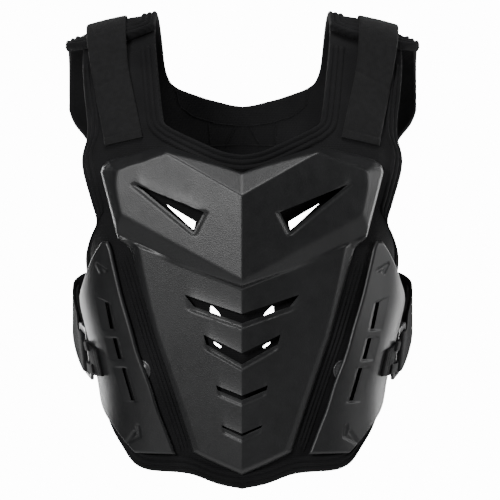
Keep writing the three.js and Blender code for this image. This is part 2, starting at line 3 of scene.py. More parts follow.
import bmesh
import bpy
import numpy as np
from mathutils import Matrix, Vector


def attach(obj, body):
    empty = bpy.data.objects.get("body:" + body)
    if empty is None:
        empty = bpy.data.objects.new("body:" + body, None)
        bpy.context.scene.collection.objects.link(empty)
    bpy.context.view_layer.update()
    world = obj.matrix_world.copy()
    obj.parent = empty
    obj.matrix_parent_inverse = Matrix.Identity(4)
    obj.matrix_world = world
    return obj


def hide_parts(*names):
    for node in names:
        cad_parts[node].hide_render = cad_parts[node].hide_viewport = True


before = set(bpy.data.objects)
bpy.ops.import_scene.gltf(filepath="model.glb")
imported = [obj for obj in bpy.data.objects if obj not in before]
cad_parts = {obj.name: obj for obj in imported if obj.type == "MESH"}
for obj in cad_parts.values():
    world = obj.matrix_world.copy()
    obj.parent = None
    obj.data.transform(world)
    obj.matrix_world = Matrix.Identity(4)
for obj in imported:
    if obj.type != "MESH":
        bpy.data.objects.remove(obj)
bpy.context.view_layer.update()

# Camera, lamps and backdrop
# The vest hangs in the air in its worn form, seen level from the front, a little right of its middle.
# A soft key lamp stands at the front left, strips behind both sides and one at the right light the rims,
# one lamp hangs overhead, and a pale floor lies far below.
MM = 0.001
VIEW_HEIGHT = -0.240
VIEW_DISTANCE = 2.300
VIEW_SIDE = 0.0085
PICTURE = 500
PIXEL_AT_ORIGIN = 1.121 * MM

scene = bpy.context.scene
camera_data = bpy.data.cameras.new("camera")
camera = bpy.data.objects.new("camera", camera_data)
scene.collection.objects.link(camera)
scene.camera = camera
camera_data.sensor_width = 36
camera_data.lens = 36 * VIEW_DISTANCE / (PICTURE * PIXEL_AT_ORIGIN)
camera.rotation_euler = (np.pi / 2, 0, 0)
camera.location = (VIEW_SIDE, -VIEW_DISTANCE, VIEW_HEIGHT)


def soft_lamp(name, place, target, size, watts):
    """A rectangular lamp of a size in metres, turned to face its target."""
    data = bpy.data.lights.new(name, "AREA")
    data.shape = "RECTANGLE"
    data.size, data.size_y = size
    data.energy = watts
    lamp = bpy.data.objects.new(name, data)
    lamp.location = place
    lamp.rotation_euler = (Vector(target) - Vector(place)).to_track_quat("-Z", "Y").to_euler()
    scene.collection.objects.link(lamp)


CHEST = (0.0, -0.05, -0.22)
soft_lamp("key_left", (-1.05, -1.95, 0.35), CHEST, (0.55, 0.6), 36)
soft_lamp("side_left", (-1.42, 1.25, -0.1), CHEST, (0.5, 1.6), 36)
soft_lamp("side_right", (1.5, 0.95, -0.1), CHEST, (0.5, 1.5), 26)
soft_lamp("fill_right", (1.9, -0.6, 0.0), CHEST, (0.6, 1.0), 15)
soft_lamp("overhead", (0.0, -0.6, 1.7), CHEST, (1.0, 0.8), 23)


def add_node(tree, kind, inputs, **settings):
    """A shader node with its settings, and each input set to its value or linked to its socket."""
    node = tree.nodes.new("ShaderNode" + kind)
    for label, value in settings.items():
        setattr(node, label, value)
    for label, value in inputs.items():
        if isinstance(value, bpy.types.NodeSocket):
            tree.links.new(value, node.inputs[label])
        elif value is not None:
            node.inputs[label].default_value = value
    return node


BACKDROP_STRENGTH = 14.0
FILL_STRENGTH = 0.05
world = bpy.data.worlds.new("studio")
scene.world = world
world.use_nodes = True
sky = world.node_tree
sky.nodes.clear()
rays = add_node(sky, "LightPath", {}).outputs["Is Camera Ray"]
fill, seen = (add_node(sky, "Background", {"Color": (1, 1, 1, 1), "Strength": strength}).outputs[0]
              for strength in (FILL_STRENGTH, BACKDROP_STRENGTH))
choose = add_node(sky, "MixShader", {"Fac": rays, 1: fill, 2: seen})
add_node(sky, "OutputWorld", {"Surface": choose.outputs["Shader"]})

FLOOR_HEIGHT = -1.25
FLOOR_RADIUS = 2.6
bpy.ops.mesh.primitive_circle_add(vertices=96, radius=FLOOR_RADIUS, fill_type="NGON",
                                  location=(0, 0, FLOOR_HEIGHT))
floor = bpy.context.object
floor.name = "studio_floor"
pale = bpy.data.materials.new("pale_floor")
pale.use_nodes = True
pale.node_tree.nodes["Principled BSDF"].inputs["Base Color"].default_value = (0.8, 0.8, 0.8, 1)
pale.node_tree.nodes["Principled BSDF"].inputs["Roughness"].default_value = 0.9
floor.data.materials.append(pale)

# Front pad
# A moulded foam pad in knit fabric that covers the chest from the V neckline to the waist and runs up
# in two tabs to the shoulders. Its borders are embossed with three ribs, and it is pierced at the vents.
PAD = 8.0
EDGE_ROUND = 3.5
EDGE_FALL = 2.4
EDGE_RISE = 1.9
ROW_CROWDING = 0.62
BAND_SHARE = 0.42
BAND_POINTS = 21
RIB_PITCH = 6.2
RIB_HEIGHT = 2.2
RIB_BAND = 3 * RIB_PITCH
TAB_RADIUS = 60.4
TAB_LEAN = 24.6
TAB_DEPTH = 38
ARCH_RADIUS = 70.0
ARCH_Y = 35
ARCH_Z = -40
SHOULDER_INNER = 98
FRONT_TOP = -14.85
KNIT_COLOUR = (0.0088, 0.0088, 0.0094)

# Front of the body at each height: keel depth, straight half width, side radius and heading
FRONT_SECTIONS = np.array([
    # z, depth, flat, radius, heading
    (-495, -116, 92, 85, 14), (-400, -122, 93, 87, 14), (-315, -127, 97, 92, 13.5),
    (-230, -128, 106, 100, 13), (-175, -124.5, 116, 107, 12), (-150, -119, 120, 110, 12),
    (-120, -107.5, 120, 110, 12), (-90, -94, 120, 110, 12), (-50, -75.3, 120, 110, 12),
    (FRONT_TOP, -58.9, 120, 110, 12)])

# Spokes of the front pad from its neck border to its outer border, in way round and height
FRONT_SPOKES = np.array([
    # v, in_u, in_w, out_u, out_w
    (0, 0, -138, 0, -495), (1, 6, -137.3, 27, -490.5), (2, 12, -136.4, 58, -480.5),
    (4, 22, -133.8, 113, -475.5), (6, 32, -129.8, 140, -453), (8, 42, -125.2, 172, -414),
    (11, 56, -118.6, 192, -325), (12, 61, -116.4, 204, -288), (13, 66, -114, 203, -255),
    (14, 70, -111.8, 186, -232), (15, 75, -109.5, 169, -212), (16, 79, -107, 174, -190),
    (18, 86, -101.5, 187, -145),
    (20, 89, -90, 180, -112), (23, 94, -50, 187, -50), (25, 98, -15, 193, -2), (27, 101, 25, 193, 33)])


def hermite(values, slopes, i, h, t):
    """Cubic Hermite curve over the step h from entry i to the next, at the share t of the step."""
    s = 1 - t
    return (values[i] * (1 + 2 * t) * s * s + values[i + 1] * (3 - 2 * t) * t * t
            + slopes[i] * h * t * s * s - slopes[i + 1] * h * t * t * s)


def smooth_column(table, at, column):
    """Smooth curve through one column of a table against its first column, level beyond its ends."""
    x, y = table[:, 0], table[:, column]
    slope = np.gradient(y, x)
    slope[1:-1] = (y[2:] - y[:-2]) / (x[2:] - x[:-2])
    i = np.clip(np.searchsorted(x, at, side="right") - 1, 0, len(x) - 2)
    h = x[i + 1] - x[i]
    return hermite(y, slope, i, h, np.clip((at - x[i]) / h, 0, 1))


def ease(t):
    """Smooth step from 0 to 1: three t squared less two t cubed."""
    t = np.clip(t, 0, 1)
    return t * t * (3 - 2 * t)


def section(table, u, w):
    """Level cut of the body by the way u round from its middle: a straight run at a heading, then an arc."""
    z = np.clip(w, table[0, 0], table[-1, 0])
    flat, radius = smooth_column(table, z, 2), smooth_column(table, z, 3)
    heading = np.radians(smooth_column(table, z, 4))
    straight = np.minimum(u, flat)
    turn = heading + np.maximum(0, u - flat) / radius
    return (straight * np.cos(heading) + radius * (np.sin(turn) - np.sin(heading)),
            straight * np.sin(heading) + radius * (np.cos(heading) - np.cos(turn)))


def shoulder_drop(x):
    """Fall of the sloping shoulder at a distance x from the middle, a shallow parabola."""
    out = np.maximum(0, x - SHOULDER_INNER)
    return 0.2 * out + 0.0014 * out * out


def front_face(u, w):
    """Outer face of the front pad: the body's cut at height w, then an arc over the shoulder."""
    x, y = section(FRONT_SECTIONS, u, w)
    even = y + (TAB_DEPTH - y) * ease((w + 110) / 80)
    drop = shoulder_drop(x) * ease((w + 130) / 110)
    turn = np.radians(180 - TAB_LEAN) - np.maximum(0, w - FRONT_TOP) / TAB_RADIUS
    over = w > FRONT_TOP
    deep = np.where(over, ARCH_Y + TAB_RADIUS * np.cos(turn), smooth_column(FRONT_SECTIONS, w, 1) + even)
    high = np.where(over, ARCH_Z + TAB_RADIUS * np.sin(turn), w)
    return np.stack([x, deep, high - drop], axis=-1)


def lifted(face, side, u, w, lift):
    """A face's point moved by lift along the unit cross product of its two small steps, round and up."""
    step = 0.4
    across = face(u + step, w) - face(np.maximum(u - step, 0), w)
    along = face(u, w + step) - face(u, w - step)
    normal = np.cross(across, along) * side
    normal[..., 0] = np.where(np.asarray(u) <= 1e-6, 0, normal[..., 0])
    normal /= np.linalg.norm(normal, axis=-1, keepdims=True)
    return face(u, w) + normal * np.asarray(lift)[..., None]


def shell_faces(rows, cols):
    """Quads of a closed shell: the outer grid, the inner grid turned over, and the border wall."""
    grid = np.arange(rows * cols).reshape(rows, cols)
    top = np.stack([grid[:-1, :-1], grid[1:, :-1], grid[1:, 1:], grid[:-1, 1:]], -1).reshape(-1, 4)
    ring = np.concatenate([grid[0, :-1], grid[:-1, -1], grid[-1, :0:-1], grid[:0:-1, 0]])
    after = np.roll(ring, -1)
    wall = np.stack([ring, after, after + rows * cols, ring + rows * cols], -1)
    return np.concatenate([top, top[:, ::-1] + rows * cols, wall])


def face_outward(mesh, weld=None):
    """Turns a mesh's faces outward, its points first welded within a distance if one is given."""
    made = bmesh.new()
    made.from_mesh(mesh)
    if weld is not None:
        bmesh.ops.remove_doubles(made, verts=made.verts, dist=weld)
    bmesh.ops.recalc_face_normals(made, faces=made.faces)
    made.to_mesh(mesh)
    made.free()


def make_piece(name, points, faces, material, uv=None, sharp=40):
    """A mesh object at the origin from points in millimetres and quads, shaded smooth up to an angle."""
    mesh = bpy.data.meshes.new(name)
    mesh.from_pydata((points.reshape(-1, 3) * MM).tolist(), [], faces.tolist())
    if uv is not None:
        layer = mesh.uv_layers.new(name="UVMap")
        corners = np.empty(len(mesh.loops), dtype=np.int64)
        mesh.loops.foreach_get("vertex_index", corners)
        layer.data.foreach_set("uv", (uv.reshape(-1, 2)[corners] * MM).ravel())
    face_outward(mesh)
    mesh.shade_smooth()
    mesh.set_sharp_from_angle(angle=np.radians(sharp))
    mesh.materials.append(material)
    piece = bpy.data.objects.new(name, mesh)
    scene.collection.objects.link(piece)
    return piece


def shell_piece(name, outside, inside, material, uv, sharp=40):
    """A closed shell object from an outer and an inner grid of points, with one UV place for each pair."""
    rows, cols = outside.shape[:2]
    points = np.concatenate([outside.reshape(-1, 3), inside.reshape(-1, 3)])
    both = np.concatenate([uv.reshape(-1, 2), uv.reshape(-1, 2)])
    return make_piece(name, points, shell_faces(rows, cols), material, both, sharp)


def prism(outline, from_y, to_y):
    """Corners and faces of a prism along Y through a front-view outline of x and z."""
    outline = np.array(outline, float)
    count = len(outline)
    points = np.concatenate([np.insert(outline, 1, from_y, axis=1), np.insert(outline, 1, to_y, axis=1)])
    k = np.arange(count)
    sides = np.stack([k, np.roll(k, -1), np.roll(k, -1) + count, k + count], -1).tolist()
    return points, [k[::-1].tolist(), (k + count).tolist(), *sides]


def cut_through(piece, outlines, from_y, to_y):
    """Takes prisms along Y out of a piece with an exact boolean, which is applied."""
    for outline in outlines:
        points, faces = prism(outline, from_y, to_y)
        mesh = bpy.data.meshes.new("cutter")
        mesh.from_pydata((points * MM).tolist(), [], faces)
        face_outward(mesh)
        cutter = bpy.data.objects.new("cutter", mesh)
        scene.collection.objects.link(cutter)
        change = piece.modifiers.new("vent", "BOOLEAN")
        change.operation = "DIFFERENCE"
        change.solver = "EXACT"
        change.object = cutter
        with bpy.context.temp_override(object=piece, active_object=piece, selected_objects=[piece]):
            bpy.ops.object.modifier_apply(modifier=change.name)
        bpy.data.objects.remove(cutter)


def both_sides(outlines):
    """Each outline and its mirror image."""
    return [side for line in outlines for side in (line, [(-x, z) for x, z in line][::-1])]


def rib_relief(distance):
    """Three rounded ribs beside a border: the ribs' height times a sine to a low power."""
    wave = np.abs(np.sin(np.pi * distance / RIB_PITCH)) ** 0.75
    return np.where(distance < RIB_BAND, RIB_HEIGHT * wave, 0)


def smooth_least(first, second, blend):
    """Least of two values with a rounded corner: the parabola of Quilez between them."""
    near = np.clip(0.5 + 0.5 * (second - first) / blend, 0, 1)
    return second + (first - second) * near - blend * near * (1 - near)


def pad_grid(face, side, spokes, rows, middle, ribs_end, puff, bow=0.0, pace=(20.0, 17.5)):
    """Outer and inner points of a pad on spokes from its neck border to its outer border.

    Across a spoke the grid is fine in the two rib bands and coarse between. The outer face is lifted by
    the ribs and the puff, and both faces close in at the borders with a quarter round.
    """
    last = spokes[-1, 0]
    even = np.linspace(-1, 1, 2 * rows + 1)
    v = last * np.abs(even + ROW_CROWDING * np.sin(np.pi * even) / np.pi)
    hand = np.sign(even)[:, None]
    in_u, in_w, out_u, out_w = (smooth_column(spokes, v, k)[:, None] for k in (1, 2, 3, 4))
    length = np.hypot(out_u - in_u, out_w - in_w)
    band = np.minimum(RIB_BAND, BAND_SHARE * length)
    near = np.linspace(0, 1, BAND_POINTS)[None, :] * band / length
    between = np.linspace(0, 1, middle + 2)[None, 1:-1]
    inner_part = near[:, -1:] + (1 - 2 * near[:, -1:]) * between
    t = np.concatenate([near, inner_part, 1 - near[:, ::-1]], axis=1)
    bend = bow * ease((v - last + 4) / 4)[:, None]
    u, w = in_u + (out_u - in_u) * t, in_w + (out_w - in_w) * t + bend * 4 * t * (1 - t)
    gap = np.minimum(t, 1 - t) * length
    scaled = gap * RIB_BAND / band
    end_gap = (last - v)[:, None] * (pace[0] + (pace[1] - pace[0]) * t)
    edge = np.minimum(gap, end_gap)
    fade = 1 - ease((w - ribs_end) / 5)
    round_off = 1 - np.sqrt(np.clip(1 - (1 - np.clip(edge / EDGE_ROUND, 0, 1)) ** 2, 0, 1))
    ribs = rib_relief(smooth_least(scaled, end_gap, 3.0)) * fade
    outer = lifted(face, side, u, w, ribs + puff(u, w, gap) - EDGE_FALL * round_off)
    inner = lifted(face, side, u, w, -PAD + EDGE_RISE * round_off)
    for grid in (outer, inner):
        grid[..., 0] *= np.where(hand == 0, 1, hand)
    uv = np.stack([u * hand, w], axis=-1)
    return outer, inner, uv


def node_group(name, inputs, outputs):
    """An empty shader node group with named inputs and outputs."""
    group = bpy.data.node_groups.new(name, "ShaderNodeTree")
    for label, kind, value in inputs:
        socket = group.interface.new_socket(label, in_out="INPUT", socket_type=kind)
        if value is not None:
            socket.default_value = value
    for label, kind in outputs:
        group.interface.new_socket(label, in_out="OUTPUT", socket_type=kind)
    return group, group.nodes.new("NodeGroupInput"), group.nodes.new("NodeGroupOutput")


def math(tree, operation, first, second=None):
    """A math node of two values, each a number or a socket."""
    return add_node(tree, "Math", {0: first, 1: second}, operation=operation).outputs[0]


def weighted(tree, *parts):
    """Sum of sockets, each times its weight."""
    total = None
    for socket, weight in parts:
        part = socket if weight == 1 else math(tree, "MULTIPLY", socket, weight)
        total = part if total is None else math(tree, "ADD", total, part)
    return total


def noise(tree, vector, scale, detail=3.0, roughness=0.5):
    """A noise texture's factor."""
    inputs = {"Vector": vector, "Scale": scale, "Detail": detail, "Roughness": roughness}
    return add_node(tree, "TexNoise", inputs).outputs["Fac"]


def ramp(tree, factor, low, high, from_value, to_value):
    """A value mapped from one range to another and held at its ends."""
    inputs = {"Value": factor, "From Min": low, "From Max": high, "To Min": from_value, "To Max": to_value}
    return add_node(tree, "MapRange", inputs).outputs["Result"]


def tint(tree, factor, first, second):
    """A colour between two colours by a factor."""
    inputs = {"Factor": factor, "A": (*first, 1), "B": (*second, 1)}
    return add_node(tree, "Mix", inputs, data_type="RGBA").outputs["Result"]


def bump(tree, height, distance, strength=1.0, normal=None):
    """A bump normal from a height, over a distance in metres."""
    inputs = {"Height": height, "Distance": distance, "Strength": strength, "Normal": normal}
    return add_node(tree, "Bump", inputs).outputs["Normal"]


def new_material(name, roughness, specular=0.5, sheen=0.0, coat=0.0):
    """A material with its shader, its constant values set on the shader's own sockets."""
    made = bpy.data.materials.new(name)
    made.use_nodes = True
    tree = made.node_tree
    shader = tree.nodes["Principled BSDF"]
    for label, value in (("Roughness", roughness), ("Specular IOR Level", specular),
                         ("Sheen Weight", sheen), ("Coat Weight", coat)):
        shader.inputs[label].default_value = value
    places = tree.nodes.new("ShaderNodeTexCoord")
    return made, tree, shader, places


HALF_TURN = 3.14159


def thread_group():
    """Woven or knitted thread: two crossing sine waves over the UV, each thread over one and under one. Its
    second output is painted shade: dark in the grooves between threads and lighter on the thread crowns.
    """
    group, source, result = node_group(
        "thread_weave", [("UV", "NodeSocketVector", None), ("Across", "NodeSocketFloat", 900.0),
                         ("Along", "NodeSocketFloat", 900.0), ("Slant", "NodeSocketFloat", 0.0)],
        [("Height", "NodeSocketFloat"), ("Painted_Thread_Shade", "NodeSocketFloat")])
    split = add_node(group, "SeparateXYZ", {0: source.outputs["UV"]})
    u, w = split.outputs["X"], split.outputs["Y"]
    leaning = math(group, "ADD", u, math(group, "MULTIPLY", w, source.outputs["Slant"]))
    a = math(group, "MULTIPLY", leaning, source.outputs["Across"])
    b = math(group, "MULTIPLY", w, source.outputs["Along"])
    wave_a = math(group, "ABSOLUTE", math(group, "SINE", math(group, "MULTIPLY", a, HALF_TURN)))
    wave_b = math(group, "ABSOLUTE", math(group, "SINE", math(group, "MULTIPLY", b, HALF_TURN)))
    thread = math(group, "ADD", math(group, "FLOOR", a), math(group, "FLOOR", b))
    turn = math(group, "SINE", math(group, "MULTIPLY", thread, HALF_TURN / 2))
    over = math(group, "ABSOLUTE", turn)
    mixed = math(group, "ADD", math(group, "MULTIPLY", wave_a, over),
                 math(group, "MULTIPLY", wave_b, math(group, "SUBTRACT", 1.0, over)))
    group.links.new(mixed, result.inputs["Height"])
    # Painted shade: the thread height times both waves, dark in the grooves between threads and light on the
    # crowns.
    group.links.new(math(group, "MULTIPLY", mixed, math(group, "MULTIPLY", wave_a, wave_b)),
                    result.inputs["Painted_Thread_Shade"])
    return group


def lint_group():
    """Dust and lint: sparse soft specks from a fine noise, thinned by a broad one."""
    group, source, result = node_group(
        "lint", [("Vector", "NodeSocketVector", None), ("Amount", "NodeSocketFloat", 0.5)],
        [("Mask", "NodeSocketFloat")])
    fine = ramp(group, noise(group, source.outputs["Vector"], 420, 2), 0.66, 0.8, 0.0, 1.0)
    broad = ramp(group, noise(group, source.outputs["Vector"], 9, 3), 0.4, 0.75, 0.0, 1.0)
    group.links.new(math(group, "MULTIPLY", math(group, "MULTIPLY", fine, broad), source.outputs["Amount"]),
                    result.inputs["Mask"])
    return group


WEAVE = thread_group()
LINT = lint_group()


def use_group(tree, group, **links):
    """A placed node group with its inputs set or linked by name."""
    return add_node(tree, "Group", links, node_tree=group)


def knit_material(name, colour, thread):
    """Knit cover cloth: fine thread relief over the UV with painted shade in the grooves between threads,
    faint worn patches and a little lint.
    """
    made, tree, shader, places = new_material(name, 0.85, specular=0.14, sheen=0.015)
    shader.inputs["Sheen Roughness"].default_value = 0.5
    weave = use_group(tree, WEAVE, UV=places.outputs["UV"], Across=thread, Along=thread * 0.8, Slant=0.35)
    worn = ramp(tree, noise(tree, places.outputs["Object"], 14, 4), 0.35, 0.75, 0.0, 1.0)
    lint = use_group(tree, LINT, Vector=places.outputs["Object"], Amount=0.25)
    # Colour factor: painted thread shade (darker in the grooves, lighter on the crowns), with the worn
    # patches and lint.
    light = weighted(tree, (weave.outputs["Painted_Thread_Shade"], 0.45), (worn, 0.3), (lint.outputs["Mask"], 1))
    dark = tuple(0.6 * c for c in colour)
    bright = tuple(2.2 * c for c in colour)
    tree.links.new(tint(tree, light, dark, bright), shader.inputs["Base Color"])
    tree.links.new(ramp(tree, worn, 0, 1, 0.9, 0.74), shader.inputs["Roughness"])
    soft = bump(tree, noise(tree, places.outputs["Object"], 55, 3), 0.0012, 0.35)
    tree.links.new(bump(tree, weave.outputs["Height"], 0.00025, 0.8, soft), shader.inputs["Normal"])
    return made


knit = knit_material("knit_cover", KNIT_COLOUR, 620.0)


def chest_puff(u, w, gap):
    """Foam fullness between the rib bands: a low swell and a faint uneven wave."""
    swell = 1.2 * ease((gap - RIB_BAND) / 18)
    return swell + 0.35 * np.sin(u / 17.0 + 1.3) * np.sin(w / 23.0) * ease((gap - RIB_BAND) / 12)


FRONT_VENTS = [
    # run of corners in front view
    [(83, -190), (49.3, -210), (51.5, -218.5), (57, -214)],
    [(22.5, -310.5), (25, -306), (31, -300.2), (33.5, -299.5), (34, -306), (27, -311.5)],
    [(21.5, -343), (25, -340), (30, -337.5), (29.5, -340.5), (23.5, -344.5)],
]
WAIST_BEADS = [(125, -241), (97.5, -334), (56.5, -455)]


def bead(name, centre, radius, material, steps=10):
    """A round bead along a run of points, tapered to its ends, each ring square to the run."""
    along = np.gradient(centre, axis=0)
    along /= np.linalg.norm(along, axis=-1, keepdims=True)
    first = np.cross(along, (0, 1, 0))
    first /= np.linalg.norm(first, axis=-1, keepdims=True)
    second = np.cross(along, first)
    k = np.linspace(0, 1, len(centre))
    size = radius * np.sqrt(np.clip(np.minimum(k, 1 - k) * len(centre) / 5, 0.02, 1))
    turn = np.linspace(0, 2 * np.pi, steps, endpoint=False)
    spin = np.cos(turn)[None, :, None] * first[:, None] + np.sin(turn)[None, :, None] * second[:, None]
    points = centre[:, None] + size[:, None, None] * spin
    i, j = np.meshgrid(np.arange(len(centre) - 1), np.arange(steps), indexing="ij")
    after = (j + 1) % steps
    faces = np.stack([i * steps + j, (i + 1) * steps + j, (i + 1) * steps + after, i * steps + after], -1)
    uv = np.stack([np.broadcast_to(turn * radius, points.shape[:2]), points[..., 2]], axis=-1)
    return make_piece(name, points, faces.reshape(-1, 4), material, uv, 60)


def join_into(piece, extras):
    """Joins small parts into a piece, whose material they share."""
    with bpy.context.temp_override(active_object=piece, object=piece, selected_objects=[piece, *extras],
                                   selected_editable_objects=[piece, *extras]):
        bpy.ops.object.join()


def front_depth(x, z):
    """Depth of the front pad's outer face at a front-view place, its way round found step by step."""
    u = np.array(x, float)
    for _ in range(30):
        u += x - front_face(u, z)[..., 0]
    return front_face(u, z)[..., 1]


outside, inside, cloth_uv = pad_grid(front_face, 1, FRONT_SPOKES, 190, 44, -14, chest_puff)
front_pad = shell_piece("front_pad_cover", outside, inside, knit, cloth_uv)
cut_through(front_pad, both_sides(FRONT_VENTS), -160, -50)
BEAD_PITCH = 4.3
BEAD_RADIUS = 1.5
beads = []
for row in range(3):
    corners = np.array([(x + 0.6 + BEAD_PITCH * row, z) for x, z in WAIST_BEADS])
    z = np.linspace(-243 - 5 * row, -452 - 2 * row, 90)
    x = np.interp(-z, -corners[:, 1], corners[:, 0])
    for sign in (1, -1):
        line = np.stack([sign * x, front_depth(x, z) - 1.1, z], axis=-1)
        beads.append(bead("waist_bead", line, BEAD_RADIUS, knit))
join_into(front_pad, beads)
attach(front_pad, "root")
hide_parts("front_pad")

# Back pad
# The same foam and knit, wrapped round the back from the waist to the neck. Its shoulder parts bend
# forward over the shoulders, and seams that follow the neckline are sewn into its inner face.
ARCH_LENGTH = np.radians(133) * ARCH_RADIUS
CHANNEL_PITCH = 66
SEAM_RADIUS = 0.8
SEAM_POINTS = 40
BACK_SECTIONS = np.array([
    # z, depth, flat, radius, heading
    (-475, 103, 95, 92, 5), (-350, 100, 95, 95, 5), (-250, 107, 98, 105, 5), (-160, 111, 110, 170, 4),
    (-100, 108, 120, 250, 3), (-40, 105, 120, 260, 3)])
BACK_SPOKES = np.array([
    # v, in_u, in_w, out_u, out_w
    (0, 0, -72, 0, -468), (2, 14, -70, 60, -466), (4, 28, -66.5, 108, -461), (6, 42, -63, 140, -446),
    (8, 54, -59, 165, -412), (10, 64, -55.5, 180, -365), (12, 72, -52.5, 182, -310),
    (14, 79, -48.5, 168, -258), (16, 84, -44, 152, -210), (18, 88, -36, 158, -160),
    (20, 91, -24, 182, -116), (22, 93, -2, 200, -86), (24, 95, 32, 206, -36), (27, 97, 84, 204, 42),
    (30, 98, ARCH_Z + ARCH_LENGTH, 202, ARCH_Z + ARCH_LENGTH - 22)])


def back_face(u, w):
    """Outer face of the back pad: the body's cut at height w, and above ARCH_Z an arc over the shoulder."""
    x, y = section(BACK_SECTIONS, u, w)
    even = y * (1 - ease((w + 130) / 90))
    drop = shoulder_drop(x) * ease((w + 110) / 90)
    turn = np.maximum(0, w - ARCH_Z) / ARCH_RADIUS
    over = w > ARCH_Z
    deep = np.where(over, ARCH_Y + ARCH_RADIUS * np.cos(turn), smooth_column(BACK_SECTIONS, w, 1) - even)
    high = np.where(over, ARCH_Z + ARCH_RADIUS * np.sin(turn), w)
    return np.stack([x, deep, high - drop], axis=-1)


def back_puff(u, w, gap):
    """Fullness of the back's foam between its rib bands, with long quilted channels across it."""
    swell = 1.4 * ease((gap - RIB_BAND) / 18)
    channel = 1 - np.exp(-((np.mod(w + 470, CHANNEL_PITCH) - CHANNEL_PITCH / 2) / 2.2) ** 2)
    return swell * channel


def way_along(corners, count):
    """Evenly spaced points along a run of corners, with its turns softened and its ends kept."""
    corners = np.array(corners, float)
    run = np.concatenate([[0], np.cumsum(np.hypot(*np.diff(corners, axis=0).T))])
    at = np.linspace(0, run[-1], count)
    points = np.stack([np.interp(at, run, corners[:, k]) for k in (0, 1)], axis=-1)
    for _ in range(5):
        points[1:-1] = (points[:-2] + 2 * points[1:-1] + points[2:]) / 4
    return points


BACK_VENTS = [
    # run of corners in front view
    [(96, -176), (44, -196), (46, -232), (62, -228)],
    [(15, -296), (50, -292), (48, -318), (16, -326)],
    [(13, -338), (42, -334), (40, -356), (14, -364)],
]
outside, inside, cloth_uv = pad_grid(back_face, -1, BACK_SPOKES, 170, 44, ARCH_LENGTH + 30, back_puff,
                                     bow=18, pace=(12.8, 19.5))
back_pad = shell_piece("back_pad_cover", outside, inside, knit, cloth_uv)
cut_through(back_pad, both_sides(BACK_VENTS), 50, 140)
BACK_SEAMS = [
    # run of u and w on the inner face, repeated on the other side
    [(0, -95), (30, -92), (58, -84), (74, -72)], [(40, -90), (38, -118)], [(8, -95), (20, -116)],
    [(0, -116), (38, -118), (84, -112)], [(74, -72), (78, -52)], [(20, -116), (20, -280)]]
seams = []
for run in BACK_SEAMS:
    line = way_along(run, SEAM_POINTS)
    inner = lifted(back_face, -1, line[:, 0], line[:, 1], np.full(SEAM_POINTS, -PAD - 0.1))
    for sign in (1, -1):
        seams.append(bead("back_seam", inner * np.array([sign, 1, 1]), SEAM_RADIUS, knit, 6))
join_into(back_pad, seams)
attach(back_pad, "root")
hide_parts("back_pad")

# Chest plate
# A moulded hard shell over the chest, with a raised faceted upper part and a tapering lower part. It is
# pierced by two slanted vents and four chevron slots, and it is fixed to the pad along its rim.
WALL = 3.2
RIM_CLEARANCE = 2.3
PLATE_TOP = [(0, -158), (40, -142.5), (80, -128), (116, -135.5), (143, -142.5), (151, -149)]
PLATE_SIDE = [(151, -149), (153, -156), (134, -227), (121, -237), (93.6, -334), (52.4, -456)]
PLATE_FOOT = [(0, -479), (26, -468.5), (44, -460.5), (52.4, -456)]
PLATE_VENT = [(113, -170), (40, -200), (51, -221)]
CHEVRONS = [
    # half width, end and middle heights of the upper edge, then of the lower edge
    (61, -287.4, -307.4, 51, -300, -317.4), (41, -329.5, -349, 37.9, -340, -361),
    (27.4, -383.4, -394, 26, -388.6, -399), (22, -425.4, -434.3, 20.5, -428.4, -437.3)]

# Facets: height on the middle line, slopes across and up, and the level that the slope up starts from
MAIN_FACET = (150, -0.28, 0, 0)
UPPER_FACET = (150, 0.239, -0.908, -183)
CHEEK_FACET = (150, -0.48, 0.371, -272)
LOWER_FACET = (155.8, -0.2496, 0.0609, 0)
# Line where the raised part falls to the lower one: height on the middle line, rise outward, slope
PARTING_Z, PARTING_RISE, PARTING_SLOPE = -281, 0.38, 2.6
# Bevels: slope of the low wall at the rim, height of the wall, slope above it
SIDE_WALL, SIDE_HEIGHT, SIDE_SLOPE = 4.5, 7.6, 0.45
TOP_WALL, TOP_HEIGHT, TOP_SLOPES = 3.2, 5.5, ((80, 105, 130), (2.2, 1.17, 0.78))
LOWER_BEVEL, FOOT_BEVEL = 0.62, 0.85
RIM_ROUND = 2.2
# Brows over the slots and ledges under them, full at slots of this half width or more
BROW, BROW_FADE = 2.4, 6.5
LEDGE, LEDGE_WIDTH = 1.9, 4.6
SLOT_SIZE = 45
VENT_BROW, VENT_LEDGE = 1.8, 1.6


def coons(top, foot, middle, side):
    """Patch between four curves: the two ruled patches less the bilinear one through the corners."""
    s = np.linspace(0, 1, len(top))[None, :, None]
    t = np.linspace(0, 1, len(middle))[:, None, None]
    ruled = (1 - t) * top[None] + t * foot[None] + (1 - s) * middle[:, None] + s * side[:, None]
    flat = ((1 - t) * ((1 - s) * top[0] + s * top[-1]) + t * ((1 - s) * foot[0] + s * foot[-1]))
    return ruled - flat


def away(x, z, corners):
    """Distance in front view from a run of corners: the least of those from its straight parts."""
    best = np.full(np.shape(x), 1e9)
    for (ax, az), (bx, bz) in zip(corners[:-1], corners[1:]):
        dx, dz = bx - ax, bz - az
        k = np.clip(((x - ax) * dx + (z - az) * dz) / (dx * dx + dz * dz), 0, 1)
        best = np.minimum(best, np.hypot(x - ax - k * dx, z - az - k * dz))
    return best


def chevron_lines(row, x):
    """Heights of a chevron slot's upper and lower edges at a distance from the middle."""
    wide, end, middle, low_wide, low_end, low_middle = row
    return middle + (end - middle) * x / wide, low_middle + (low_end - low_middle) * x / low_wide


def facet(plane, x, z):
    """Height of a facet's plane at a front-view place."""
    height, across, up, level = plane
    return height + across * x + up * (z - level)


